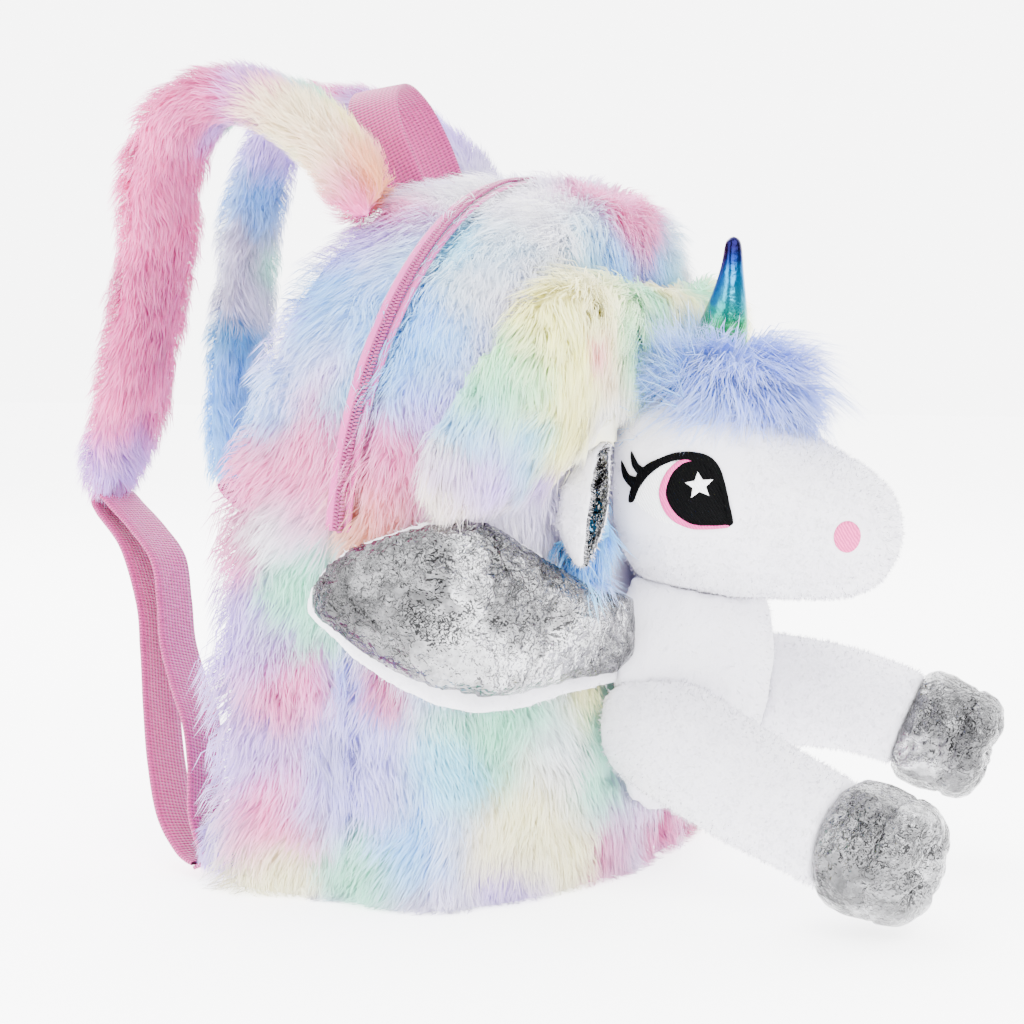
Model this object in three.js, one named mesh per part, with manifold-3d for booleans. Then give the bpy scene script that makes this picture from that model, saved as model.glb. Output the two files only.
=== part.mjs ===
// Plush unicorn backpack for a small child. Millimetres, +Z up, the unicorn faces -Y,
// the back panel and shoulder straps are on +Y, the wearer's left side is -X.
// Origin: middle of the bag's base, on the floor.
import * as THREE from 'three';
import Module from 'manifold-3d';

const wasm = await Module();
wasm.setup();

// ---------- driving dimensions (mm) ----------
const BAG_WIDTH = 252;        // seam to seam at the floor
const BACK_Y = 54;            // rear edge of the gusset
const SEAM_Y = -49;           // seam between gusset and front panel
const FRONT_BULGE = 46;       // how far the front panel bows out at the floor
const BAG_HEIGHT = 298;
const FRONT_HEIGHT = 290;     // arch height at the front seam
const ARCH_POWER = 2.3;       // superellipse power of the arch
const ARCH_SPRING = 0.48;     // share of the height that is straight-sided
const SIDE_SWELL = 0.045;     // gusset swells outward by this share at mid depth
const NOD = 30;               // the top of the bag leans forward by this much
const NOD_START = 130;        // height where the lean begins
const WALL = 8;               // fur, backing and padding together
const FLOOR_T = 5;            // base board with its cover
const GAP = 0.35;             // clearance between neighbouring pieces
const ZIP_Y = -3;             // zip centre line, measured on the upright bag
const ZIP_SLOT = 14;
const ZIP_LOW_Z = 150;        // lower ends of the zip
const WEB_W = 25, WEB_T = 1.8;
const STRAP_W = 46, STRAP_T = 17;

// ---------- small helpers ----------
const lerp = (a, b, t) => a + (b - a) * t;
const clamp = (v, a, b) => Math.min(b, Math.max(a, v));
const nod = (z) => -NOD * Math.pow(clamp((z - NOD_START) / 170, 0, 1.15), 1.6);

function table(rows, key, x) {
  const n = rows.length;
  if (x <= rows[0][0]) return rows[0].slice();
  for (let i = 1; i < n; i++) {
    if (x <= rows[i][0]) {
      const t = (x - rows[i - 1][0]) / (rows[i][0] - rows[i - 1][0]);
      return rows[i].map((v, k) => lerp(rows[i - 1][k], v, t));
    }
  }
  return rows[n - 1].slice();
}

// closed solid from rings of equal point count
function solid(rings, { caps = 'fan', closed = false } = {}) {
  const m = rings[0].length, pos = [], tri = [];
  for (const r of rings) for (const p of r) pos.push(p[0], p[1], p[2]);
  const n = rings.length, last = closed ? n : n - 1;
  for (let i = 0; i < last; i++) {
    const a = i * m, b = ((i + 1) % n) * m;
    for (let j = 0; j < m; j++) {
      const k = (j + 1) % m;
      tri.push(a + j, a + k, b + k, a + j, b + k, b + j);
    }
  }
  if (!closed) {
    for (const [i, flip] of [[0, true], [n - 1, false]]) {
      const o = i * m;
      if (caps === 'fan') {
        let c = [0, 0, 0];
        for (const p of rings[i]) c = c.map((v, k) => v + p[k] / m);
        const ci = pos.length / 3;
        pos.push(...c);
        for (let j = 0; j < m; j++) {
          const k = (j + 1) % m;
          flip ? tri.push(ci, o + k, o + j) : tri.push(ci, o + j, o + k);
        }
      } else {                       // strips joining point j with point m-1-j
        for (let j = 0; j + 1 < m / 2; j++) {
          const a = o + j, b = o + j + 1, c = o + m - 2 - j, d = o + m - 1 - j;
          const t = b === c ? [a, b, d] : [a, b, c, a, c, d];
          for (let q = 0; q < t.length; q += 3) {
            flip ? tri.push(t[q], t[q + 2], t[q + 1]) : tri.push(t[q], t[q + 1], t[q + 2]);
          }
        }
      }
    }
  }
  return manifold(pos, tri);
}

function manifold(pos, tri) {
  let vol = 0;
  for (let i = 0; i < tri.length; i += 3) {
    const [a, b, c] = [tri[i], tri[i + 1], tri[i + 2]].map((v) => new THREE.Vector3(pos[3 * v], pos[3 * v + 1], pos[3 * v + 2]));
    vol += a.dot(b.cross(c));
  }
  if (vol < 0) for (let i = 0; i < tri.length; i += 3) [tri[i + 1], tri[i + 2]] = [tri[i + 2], tri[i + 1]];
  return new wasm.Manifold(new wasm.Mesh({
    numProp: 3, vertProperties: new Float32Array(pos), triVerts: new Uint32Array(tri),
  }));
}

function mapped(man, fn) {
  const g = man.getMesh(), v = g.vertProperties, pos = [];
  for (let i = 0; i < v.length; i += g.numProp) pos.push(...fn([v[i], v[i + 1], v[i + 2]]));
  return manifold(pos, Array.from(g.triVerts));
}
const lean = (man) => mapped(man, ([x, y, z]) => [x, y + nod(z), z]);
const mirrored = (man) => mapped(man, ([x, y, z]) => [-x, y, z]);

function box(x0, x1, y0, y1, z0, z1) {
  const r = (z) => [[x0, y0, z], [x1, y0, z], [x1, y1, z], [x0, y1, z]];
  return solid([r(z0), r(z1)]);
}

function superRing(n, k, at) {
  const out = [];
  for (let i = 0; i < n; i++) {
    const t = (2 * Math.PI * i) / n, c = Math.cos(t), s = Math.sin(t);
    out.push(at(Math.sign(c) * Math.abs(c) ** (2 / k), Math.sign(s) * Math.abs(s) ** (2 / k)));
  }
  return out;
}

function ellipsoid(c, r, n = 20, m = 10) {
  const rings = [];
  for (let i = 1; i < m; i++) {
    const a = -Math.PI / 2 + (Math.PI * i) / m;
    rings.push(superRing(n, 2, (u, v) => [c[0] + r[0] * Math.cos(a) * u, c[1] + r[1] * Math.cos(a) * v, c[2] + r[2] * Math.sin(a)]));
  }
  rings.unshift(rings[0].map(() => [c[0], c[1], c[2] - r[2]]));
  rings.push(rings[0].map(() => [c[0], c[1], c[2] + r[2]]));
  rings[0] = rings[1].map((p) => [lerp(c[0], p[0], 0.05), lerp(c[1], p[1], 0.05), c[2] - r[2]]);
  rings[rings.length - 1] = rings[rings.length - 2].map((p) => [lerp(c[0], p[0], 0.05), lerp(c[1], p[1], 0.05), c[2] + r[2]]);
  return solid(rings);
}

// round or superelliptic bar along a path of [x, y, z, width, thickness]
function bar(rows, steps, ring, side = new THREE.Vector3(1, 0, 0), k = 2, closed = false) {
  const curve = new THREE.CatmullRomCurve3(rows.map((r) => new THREE.Vector3(r[0], r[1], r[2])), closed, 'centripetal');
  const n = rows.length, span = closed ? n : n - 1, rings = [];
  const count = closed ? steps : steps + 1;
  for (let i = 0; i < count; i++) {
    const u = i / steps, p = curve.getPoint(u), t = curve.getTangent(u).normalize();
    const w = side.clone().addScaledVector(t, -side.dot(t)).normalize();
    const h = t.clone().cross(w).normalize();
    const f = u * span, a = Math.min(Math.floor(f), n - 1), b = closed ? (a + 1) % n : Math.min(a + 1, n - 1);
    const sw = lerp(rows[a][3], rows[b][3], f - a) / 2, sh = lerp(rows[a][4], rows[b][4], f - a) / 2;
    const at = (c, s) => [p.x + w.x * c * sw + h.x * s * sh, p.y + w.y * c * sw + h.y * s * sh, p.z + w.z * c * sw + h.z * s * sh];
    rings.push(ring === 4 ? [at(-1, -1), at(1, -1), at(1, 1), at(-1, 1)] : superRing(ring, k, at));
  }
  return solid(rings, { closed });
}

// ---------- bag form ----------
const BAG_STATIONS = [     // y, share of the swell-free width
  [54, 0.96], [48, 1], [28, 1], [-3, 1], [-28, 1], [-49, 1],
];
const DOME_STEPS = [0.14, 0.36, 0.6, 0.82, 0.96];
const ARCH_N = 18;

function archRing(w, h, y, z0) {
  const pts = [[-w, y, z0]];
  for (let i = 0; i <= ARCH_N; i++) {
    const t = (Math.PI * i) / ARCH_N, c = Math.cos(t), s = Math.sin(t);
    pts.push([-w * Math.sign(c) * Math.abs(c) ** (2 / ARCH_POWER), y, h * (ARCH_SPRING + (1 - ARCH_SPRING) * Math.abs(s) ** (2 / ARCH_POWER))]);
  }
  pts.push([w, y, z0]);
  return pts;
}

function bag(inset, z0 = 0) {
  const rings = [], half = BAG_WIDTH / 2;
  for (const [y, share] of BAG_STATIONS) {
    const q = 1 - ((y + 3) / 52) ** 2;
    const w = half * share * (1 + SIDE_SWELL * clamp(q, 0, 1)) - inset;
    const h = (y < -3 ? lerp(FRONT_HEIGHT, BAG_HEIGHT * 1.012, clamp(q, 0, 1)) : BAG_HEIGHT * (1 + 0.012 * clamp(q, 0, 1))) * (0.5 + 0.5 * share) - inset;
    const yy = y > 40 ? y - inset * (y - 40) / 14 : y;
    rings.push(archRing(w, h, yy, z0));
  }
  const B = FRONT_BULGE - inset;
  for (const s of DOME_STEPS) {
    rings.push(archRing((half - inset) * (1 - s) ** (1 / 2.2), (FRONT_HEIGHT - inset) * (1 - s) ** (1 / 3.5), SEAM_Y - B * s, z0));
  }
  return solid(rings, { caps: 'strip' });
}

// upright block sliced every few millimetres so that it leans as smoothly as the bag does
const FAR = 400;
function slab(y0, y1, z0 = -1, z1 = 320, x0 = -FAR, x1 = FAR) {
  const rings = [], steps = z1 > NOD_START ? Math.ceil((z1 - Math.max(z0, NOD_START)) / 20) : 0;
  const levels = z0 < NOD_START ? [z0] : [];
  for (let i = 0; i <= steps; i++) levels.push(lerp(Math.max(z0, NOD_START), z1, steps ? i / steps : 0));
  if (!steps) levels.push(z1);
  for (const z of [...new Set(levels)]) rings.push([[x0, y0, z], [x1, y0, z], [x1, y1, z], [x0, y1, z]]);
  return lean(solid(rings));
}
const leaned = (inset, z0 = 0) => lean(bag(inset, z0));
const bagCut = leaned(-GAP, -2);
const shell = leaned(0).subtract(leaned(WALL, -3));
const back = shell.intersect(slab(BACK_Y - WALL, FAR));
const front = shell.intersect(slab(-FAR, SEAM_Y - GAP / 2));
const slot = slab(ZIP_Y - ZIP_SLOT / 2, ZIP_Y + ZIP_SLOT / 2, ZIP_LOW_Z);
const gusset = shell.intersect(slab(SEAM_Y + GAP / 2, BACK_Y - WALL - GAP)).subtract(slot);
const baseBoard = bag(WALL + GAP, 0).intersect(box(-FAR, FAR, -FAR, FAR, 0, FLOOR_T));

// ---------- zip ----------
const band = (outer, inner, y0, y1, z0) => leaned(outer).subtract(leaned(inner)).intersect(slab(ZIP_Y + y0, ZIP_Y + y1, z0));
const tapeRear = band(1.6, 3.2, 2.5, 6.7, ZIP_LOW_Z + 0.4);
const tapeFront = band(1.6, 3.2, -6.7, -2.5, ZIP_LOW_Z + 0.4);
const coil = band(0.8, 3.6, -2.15, 2.15, ZIP_LOW_Z + 0.6);
const slider = leaned(-3.2).subtract(leaned(0.4)).intersect(slab(ZIP_Y - 4.5, ZIP_Y + 4.5, 186, 197, 0));
const pull = leaned(-5.6).subtract(leaned(-3.6)).intersect(slab(ZIP_Y - 3, ZIP_Y + 3, 156, 192, 0));

// ---------- head ----------
const HEAD = [            // y, half width, underside z, top z
  [-194.5, 12, 141, 153], [-192, 22, 133, 161], [-187, 29, 125.5, 169.5], [-179, 33, 121, 176],
  [-169, 36, 119.5, 181.5], [-156, 40, 119, 188.5], [-143, 46, 119, 197], [-129, 52, 118.5, 207.5],
  [-113, 55, 118.5, 214], [-97, 53, 120, 213], [-84, 46, 125, 208], [-76, 36, 134, 199],
];
function head(g) {
  return solid(HEAD.map(([y, hw, z0, z1], i) => {
    const yy = i === 0 ? y - g : i === HEAD.length - 1 ? y + g : y;
    return superRing(20, 2.35, (u, v) => [(hw + g) * u, yy, (z0 + z1) / 2 + ((z1 - z0) / 2 + g) * v]);
  }));
}
const headSolid = head(0).subtract(bagCut);

// ---------- chest and neck ----------
const CHEST = [           // z, half width, front y
  [26, 30, -106], [36, 42, -121], [52, 49, -132], [72, 52, -138], [92, 51, -140.5], [108, 46, -139.5], [120, 41, -137], [134, 34, -130],
];
const chest = (g) => solid(CHEST.map(([z, hw, yf], i) => superRing(18, 2.2, (u, v) => [(hw + g) * u, -80 + (-80 - yf + g) * v, i ? z : z - g])));
const chestSolid = chest(0).subtract(bagCut).subtract(head(GAP));

// ---------- front legs and hooves ----------
const LEGS = {            // x, y, z of the centre line, then diameter
  left: [[-34, -92, 69, 47], [-45, -116, 62, 50], [-56, -141, 53.5, 48.5], [-65, -170, 43.5, 45.5], [-71, -196, 34.5, 43.5]],
  right: [[34, -92, 72, 47], [42, -116, 72, 50], [50, -141, 70.5, 48.5], [56, -165, 66.5, 45.5], [60, -187, 59, 43.5]],
};
const HOOF = [            // distance along the hoof, radius
  [0, 22], [4, 25.5], [12, 28], [24, 28.6], [32, 27], [36, 23], [37.5, 17],
];
const HOOF_DIR = { left: [-0.19, -0.95, -0.2], right: [0.12, -0.93, -0.34] };
const leg = (s, g) => bar(LEGS[s].map(([x, y, z, d]) => [x, y, z, d + 2 * g, d + 2 * g]), 7, 16);
function hoof(s, g) {
  const end = LEGS[s][LEGS[s].length - 1], d = new THREE.Vector3(...HOOF_DIR[s]).normalize();
  const a = new THREE.Vector3(1, 0, 0).addScaledVector(d, -d.x).normalize(), b = d.clone().cross(a);
  return solid(HOOF.map(([t, r], i) => {
    const q = t + (i === HOOF.length - 1 ? g : i ? 0 : -g);
    return superRing(16, 2, (u, v) => [0, 1, 2].map((k) => {
      const e = [end[0], end[1], end[2]][k], dd = d.getComponent(k);
      return e + dd * (q - 1) + (r + g) * (a.getComponent(k) * u + b.getComponent(k) * v);
    }));
  }));
}
const floorCut = box(-FAR, FAR, -FAR, FAR, -60, 0);
const body = {};
for (const s of ['left', 'right']) {
  body['hoof_' + s] = hoof(s, 0).subtract(floorCut);
  body['leg_' + s] = leg(s, 0).subtract(hoof(s, GAP)).subtract(bagCut).subtract(head(GAP)).subtract(chest(GAP));
}

// ---------- horn, forelock, ears ----------
const HORN = [            // x, y, z of the centre line, then diameter
  [0, -113.5, 204, 25], [0, -116, 218, 22.5], [0, -119.5, 235, 16.5], [0, -122, 250, 10.5], [0, -123.2, 262, 5.5], [0, -123.4, 271, 1.6],
];
const horn = (g) => bar(HORN.map(([x, y, z, d]) => [x, y, z, d + 2 * g, d + 2 * g]), 7, 12);
const hornSolid = horn(0).subtract(head(GAP));

const EAR_SECTION = [[5, 10], [0, 10.5], [-6, 9.5], [-10.5, 5.5], [-8, 1], [0, -0.5], [8.5, 0]];   // forward, outward
const EAR_RUN = [         // share of the length, scale of the section
  [0, 0.34], [0.12, 0.62], [0.38, 1], [0.65, 0.97], [0.87, 0.55], [1, 0.2],
];
const EAR_ROOT = [-46, -87, 187], EAR_TIP = [-79, -91, 137];
function ear(lo, hi) {
  return solid(EAR_RUN.map(([t, k]) => {
    const c = EAR_ROOT.map((v, i) => lerp(v, EAR_TIP[i], i ? t : Math.sqrt(t))), pts = [];
    const mid = EAR_SECTION.map(([a, b]) => [a * k, b * k + 1]);
    const off = (d) => mid.map((p, i) => {
      const q = mid[Math.max(0, i - 1)], r = mid[Math.min(mid.length - 1, i + 1)];
      const l = Math.hypot(r[0] - q[0], r[1] - q[1]);
      return [p[0] - ((r[1] - q[1]) / l) * d, p[1] + ((r[0] - q[0]) / l) * d];
    });
    const s = clamp(0.35 + k, 0, 1);
    const A = off(lo * s), B = off(hi * s).reverse();
    for (const p of [...A, ...B]) pts.push([c[0] - p[1], c[1] - p[0], c[2]]);
    return pts;
  }), { caps: 'strip' });
}
const earOuter = ear(-2.2, 0.8), earInner = ear(1.15, 2.1);
const headCut = head(GAP);
const earLeft = earOuter.subtract(headCut).subtract(bagCut);
const earLiningLeft = earInner.subtract(headCut).subtract(bagCut);
const earCut = ear(-2.6, 2.5);

// ---------- embroidery ----------
const EYE = {             // outlines on the left cheek: y, z
  pupil: [[-115.6, 166], [-117.5, 172.5], [-121.5, 176.8], [-126, 178.6], [-131, 177.4], [-134.8, 172], [-137.2, 163.5], [-139.2, 153.6], [-134, 153.2], [-126, 153.6], [-120.6, 156.6], [-117, 161]],
  ring: [[-112.2, 165], [-113.2, 170.5], [-116, 175.4], [-120, 178.8], [-125, 179.6], [-125.6, 178.9], [-121.1, 177.3], [-117, 172.9], [-115.1, 166], [-116.6, 160.6], [-120.3, 156], [-126, 153], [-134, 152.6], [-138.6, 152.9], [-138.8, 151.8], [-131, 151], [-124.6, 151.3], [-118.4, 153.8], [-114.2, 158.2]],
  lid: [[-98.4, 162.4], [-101.2, 170.4], [-106, 175.8], [-112.4, 179.8], [-119, 182], [-126, 182], [-131.4, 180.2], [-135.6, 175.4], [-138.4, 167], [-141, 154.6], [-140, 154.4], [-137.6, 165.6], [-134.8, 173.4], [-130.8, 178.2], [-125.6, 180.2], [-119.4, 180.2], [-113, 178], [-107, 173.8], [-102.6, 168.2], [-99.8, 162.4]],
  lash_a: [[-102.4, 170.2], [-98.6, 171.6], [-94.6, 176.8], [-96, 172], [-99, 168.4], [-101.8, 167.0]],
  lash_b: [[-105, 174], [-102.2, 176], [-99.2, 181], [-100.2, 176.4], [-102.6, 173], [-104.8, 171.8]],
};
const STAR_C = [-128.2, 168.8], STAR_R = 5.6;
const star = [];
for (let i = 0; i < 10; i++) {
  const r = i % 2 ? STAR_R * 0.46 : STAR_R, a = Math.PI / 2 + (i * Math.PI) / 5 - 0.12;
  star.push([STAR_C[0] + r * Math.cos(a), STAR_C[1] + r * Math.sin(a)]);
}
function prism(poly, x0, x1) {
  const sh = poly.map((p) => new THREE.Vector2(p[0], p[1]));
  if (THREE.ShapeUtils.area(sh) < 0) sh.reverse();
  const faces = THREE.ShapeUtils.triangulateShape(sh, []), n = sh.length, pos = [], tri = [];
  for (const x of [x0, x1]) for (const p of sh) pos.push(x, p.x, p.y);
  for (const [a, b, c] of faces) tri.push(a, c, b, n + a, n + b, n + c);
  for (let i = 0; i < n; i++) {
    const j = (i + 1) % n;
    tri.push(i, j, n + j, i, n + j, n + i);
  }
  return manifold(pos, tri);
}
const skin = head(1.05).subtract(head(0.3));
const patch = (poly) => skin.intersect(prism(poly, -90, -5));
const widen = (poly, k) => { const c = poly.reduce((s, p) => [s[0] + p[0] / poly.length, s[1] + p[1] / poly.length], [0, 0]); return poly.map((p) => [c[0] + (p[0] - c[0]) * k, c[1] + (p[1] - c[1]) * k]); };
const eyeStar = patch(star);
const eyelid = patch(EYE.lid).add(patch(EYE.lash_a)).add(patch(EYE.lash_b));
const eyeBlack = patch(EYE.pupil).subtract(prism(widen(star, 1.06), -90, -5)).subtract(prism(widen(EYE.lid, 1.004), -90, -5));
const ringPrism = prism(widen(EYE.pupil, 1.02), -90, -5).add(prism(widen(EYE.lid, 1.004), -90, -5));
const eyeRing = patch(EYE.ring).subtract(ringPrism);
const nostril = patch(superRing(16, 2, (u, v) => [-183.8 + 4.6 * u, 148.4 + 6.3 * v]));

// ---------- wings ----------
// plan line of the bag at wing height, then an arc-length lookup with outward normals
const PLAN = (() => {
  const pts = [];
  for (let i = 0; i <= 40; i++) { const y = lerp(BACK_Y, SEAM_Y, i / 40); pts.push([-BAG_WIDTH / 2 * (1 + SIDE_SWELL * clamp(1 - ((y + 3) / 52) ** 2, 0, 1)), y]); }
  for (let i = 1; i <= 60; i++) { const x = lerp(-BAG_WIDTH / 2, 0, i / 60); pts.push([x, SEAM_Y - FRONT_BULGE * 0.957 * (1 - Math.abs(x / 126) ** 2.2)]); }
  const nrm = pts.map((_, i) => { const a = pts[Math.max(0, i - 1)], b = pts[Math.min(pts.length - 1, i + 1)], l = Math.hypot(b[0] - a[0], b[1] - a[1]); return [(b[1] - a[1]) / l, -(b[0] - a[0]) / l]; });
  const soft = nrm.map((_, i) => { let s = [0, 0], c = 0; for (let j = i - 7; j <= i + 7; j++) { const q = nrm[clamp(j, 0, nrm.length - 1)]; s = [s[0] + q[0], s[1] + q[1]]; c++; } const l = Math.hypot(...s); return [s[0] / l, s[1] / l]; });
  const out = pts.map((p, i) => [p[0] + soft[i][0] * 8, p[1] + soft[i][1] * 8, soft[i][0], soft[i][1], 0]);
  for (let i = 1; i < out.length; i++) out[i][4] = out[i - 1][4] + Math.hypot(out[i][0] - out[i - 1][0], out[i][1] - out[i - 1][1]);
  return out.map((p) => [p[4], p[0], p[1], p[2], p[3]]);
})();
function onPlan(s, z, n) {
  const [, x, y, nx, ny] = table(PLAN, 0, s);
  return [x + nx * n, y + ny * n + nod(z), z];
}
const WING = [            // distance along the plan line, z
  [208, 121], [186, 127], [168.6, 134], [155.6, 141], [143.4, 147.4], [134, 153.4], [125, 157.6], [108, 158.2],
  [88, 152.2], [69, 145.6], [59, 137], [52.5, 124.8], [57, 119], [64, 114.4], [79, 103.6], [100, 94.6], [125, 88], [142, 87.6], [158, 89.6], [184, 91.4], [208, 92],
];
function leaf(outline, grow, shift, high, low, domed) {
  const curve = new THREE.CatmullRomCurve3(outline.map(([s, z]) => new THREE.Vector3(s, z, 0)), true, 'centripetal');
  const n = 26, edge = [];
  for (let i = 0; i < n; i++) edge.push(curve.getPoint(i / n));
  const c = new THREE.Vector3(135, 122, 0);
  const at = (f, h) => edge.map((p) => {
    const d = p.clone().sub(c), l = d.length(), q = c.clone().addScaledVector(d, f * (l + grow) / l);
    return onPlan(q.x, q.y + shift, h);
  });
  const up = [[1, 0.15], [0.86, 0.65], [0.55, 0.95], [0.2, 1]], rings = [];
  for (const [f, h] of [...up].reverse()) rings.push(at(f, domed ? high * h : high));
  for (const [f] of up) rings.push(at(f, low));
  return solid(rings);
}
const wingFoil = (g) => leaf(WING, g, 0, 10 + g, -g, true);
const wingBack = (g) => leaf(WING, 4.5 + g, -3.2, -2.0 + g, -5.6 - g, false);
const frontMass = bagCut.add(chest(GAP)).add(head(GAP)).add(leg('left', GAP));
const wingLeft = wingFoil(0).subtract(frontMass);
const wingBackLeft = wingBack(0).subtract(frontMass).subtract(wingFoil(GAP));
const farMass = bagCut.add(chest(GAP)).add(head(GAP)).add(leg('right', GAP));
const wingRight = mirrored(wingFoil(0)).subtract(farMass);
const wingBackRight = mirrored(wingBack(0)).subtract(farMass).subtract(mirrored(wingFoil(GAP)));

// ---------- mane ----------
const MANE = [            // x, y centre, z centre, half depth, half height
  [-137, -46, 176, 6, 9], [-134, -49, 178, 12, 19], [-126, -54, 184, 18, 27], [-113, -60, 197, 22, 38],
  [-98, -64, 206, 22, 46], [-80, -67, 210, 20, 47], [-58, -71, 214, 18, 44], [-30, -75, 216, 15, 41], [0, -76, 217, 15, 40],
];
const maneRows = [...MANE, ...MANE.slice(0, -1).reverse().map((r) => [-r[0], ...r.slice(1)])];
const mane = (g) => solid(maneRows.map(([x, y, z, sy, sz]) => superRing(14, 2.1, (u, v) => [x + (Math.abs(x) > 136 ? Math.sign(x) * g : 0), y + (sy + g) * u, z + (sz + g) * v])));
const maneSolid = lean(mane(0)).subtract(bagCut).subtract(headCut).subtract(earCut).subtract(mirrored(earCut)).subtract(horn(GAP))
  .subtract(wingFoil(2 * GAP)).subtract(mirrored(wingFoil(2 * GAP))).subtract(wingBack(GAP)).subtract(mirrored(wingBack(GAP)));
const forelock = ellipsoid([0, -111, 206], [45, 51, 28], 16, 8).subtract(headCut).subtract(horn(GAP)).subtract(lean(mane(GAP))).subtract(bagCut).subtract(earCut).subtract(mirrored(earCut));
const lock = ellipsoid([-69, -86, 145], [16, 14, 25], 12, 6).subtract(frontMass).subtract(earCut).subtract(wingFoil(GAP)).subtract(wingBack(GAP)).subtract(lean(mane(GAP)));

// ---------- straps, webbing, carry loop ----------
const STRAPS = {          // x, y, z, width, thickness
  left: [[-56, 12, 276, 46, 15], [-58, 25, 292, 46, 16], [-58, 36, 309, 46, 17], [-58, 56, 325, 46, 17], [-58, 81, 335, 46, 17], [-58, 105, 334, 46, 17], [-58, 121, 320, 46, 17],
    [-58, 128.5, 300, 46, 17], [-58, 130, 277, 46, 17], [-58, 135, 246, 46, 17], [-58, 144, 210, 46, 17], [-59, 153, 182, 40, 16], [-60, 159, 160, 28, 13]],
  right: [[56, 12, 276, 46, 15], [58, 25, 292, 46, 16], [58, 38, 311, 46, 17], [58, 60, 329, 46, 17], [58, 88, 340, 46, 17], [58, 118, 342, 46, 17], [58, 140, 330, 46, 17],
    [58, 151, 308, 46, 17], [58, 157, 280, 46, 17], [58, 160, 248, 46, 17], [58, 166, 210, 46, 17], [59, 170, 182, 40, 16], [60, 172, 160, 28, 13]],
};
const strap = (s) => bar(STRAPS[s], 20, 10, new THREE.Vector3(1, 0, 0), 2.6);
const WEB_LOOP = [        // x, y, z round one closed loop of webbing, left side
  [-108, 71, 5.5], [-105, 82, 9.5], [-100, 95, 22], [-92, 106, 43], [-83, 115, 67], [-76, 121, 89], [-70, 127, 110], [-64, 140, 134], [-60.5, 156, 149],
  [-60, 159.5, 155], [-60, 155, 157.5], [-61, 147, 151.5], [-63, 135, 142], [-67, 121.5, 129], [-71, 115.5, 111], [-76, 110, 93.5], [-82, 100.5, 77.5], [-90, 89, 62], [-97, 82, 45], [-104, 77, 27], [-108, 70.5, 15.5], [-109, 65.5, 10],
];
function webLoop(s, g) {
  const k = s === 'left' ? 1 : -1;
  const pts = WEB_LOOP.map(([x, y, z]) => [k * x, y + (s === 'left' ? 0 : 12 * clamp((z - 20) / 120, 0, 1)), z, WEB_W + 2 * g, WEB_T + 2 * g]);
  return bar(pts, 40, 4, new THREE.Vector3(1, 0, 0), 2, true);
}
const tab = (k) => ellipsoid([k * 109, 60, 15], [17, 15, 15], 10, 5).subtract(floorCut);
const LOOP = [            // x, y, z
  [-21, 21, 283], [-21.5, 28, 300], [-22, 36, 318], [-17, 42.5, 333], [-6, 45.5, 341], [6, 45.5, 341], [17, 43, 333], [22, 37, 318], [21.5, 29, 300], [21, 21, 283],
];
function carryLoop() {
  const curve = new THREE.CatmullRomCurve3(LOOP.map((p) => new THREE.Vector3(...p)), false, 'centripetal'), rings = [];
  for (let i = 0; i <= 18; i++) {
    const u = i / 18, p = curve.getPoint(u), t = curve.getTangent(u).normalize();
    const w = new THREE.Vector3(0, 1, -0.12).addScaledVector(t, -new THREE.Vector3(0, 1, -0.12).dot(t)).normalize(), h = t.clone().cross(w);
    rings.push([[-1, -1], [1, -1], [1, 1], [-1, 1]].map(([a, b]) => [0, 1, 2].map((k) => p.getComponent(k) + w.getComponent(k) * a * WEB_W / 2 + h.getComponent(k) * b * WEB_T / 2)));
  }
  return solid(rings);
}

// biggest lump left after the cuts
function largest(man) {
  const parts = man.decompose();
  return parts.reduce((a, b) => (b.volume() > a.volume() ? b : a));
}

// ---------- assembly ----------
const root = new THREE.Group();
root.name = 'plush_unicorn_backpack';
function add(name, man, color, roughness, metalness = 0) {
  const m = largest(man).getMesh(), pos = [], p = m.vertProperties, s = m.numProp;
  for (let i = 0; i < p.length; i += s) pos.push(p[i], p[i + 1], p[i + 2]);
  const g = new THREE.BufferGeometry();
  g.setAttribute('position', new THREE.Float32BufferAttribute(pos, 3));
  g.setIndex(Array.from(m.triVerts));
  g.computeVertexNormals();
  const mesh = new THREE.Mesh(g, new THREE.MeshStandardMaterial({ color, roughness, metalness }));
  mesh.name = name;
  root.add(mesh);
}
const PINK_WEB = '#e58fc0', WHITE = '#f4f3f7', FOIL = '#c3c5cb';

add('front_panel', front, '#dcebe6', 0.95);
add('back_panel', back, '#dcc8e6', 0.95);
add('gusset', gusset, '#d9c6e6', 0.95);
add('base_panel', baseBoard, '#d8cfe2', 0.95);
add('zipper_tape_rear', tapeRear, '#e6a3c8', 0.8);
add('zipper_coil', coil, '#c9749f', 0.5);
add('zipper_tape_front', tapeFront, '#e6a3c8', 0.8);
add('zipper_slider', slider, '#d987b3', 0.4);
add('zipper_pull', pull, '#d987b3', 0.4);
add('carry_loop', carryLoop().subtract(bagCut), PINK_WEB, 0.75);

const strapColor = { left: '#e7bfd8', right: '#a9cbe4' };
for (const s of ['left', 'right']) {
  const k = s === 'left' ? -1 : 1;
  add('strap_' + s, strap(s).subtract(bagCut).subtract(webLoop(s, 2 * GAP)), strapColor[s], 0.95);
  add('webbing_' + s, webLoop(s, 0).subtract(bagCut), PINK_WEB, 0.75);
  add('strap_tab_' + s, tab(k).subtract(bagCut).subtract(webLoop(s, 2 * GAP)), '#cdbfe4', 0.95);
}

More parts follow.
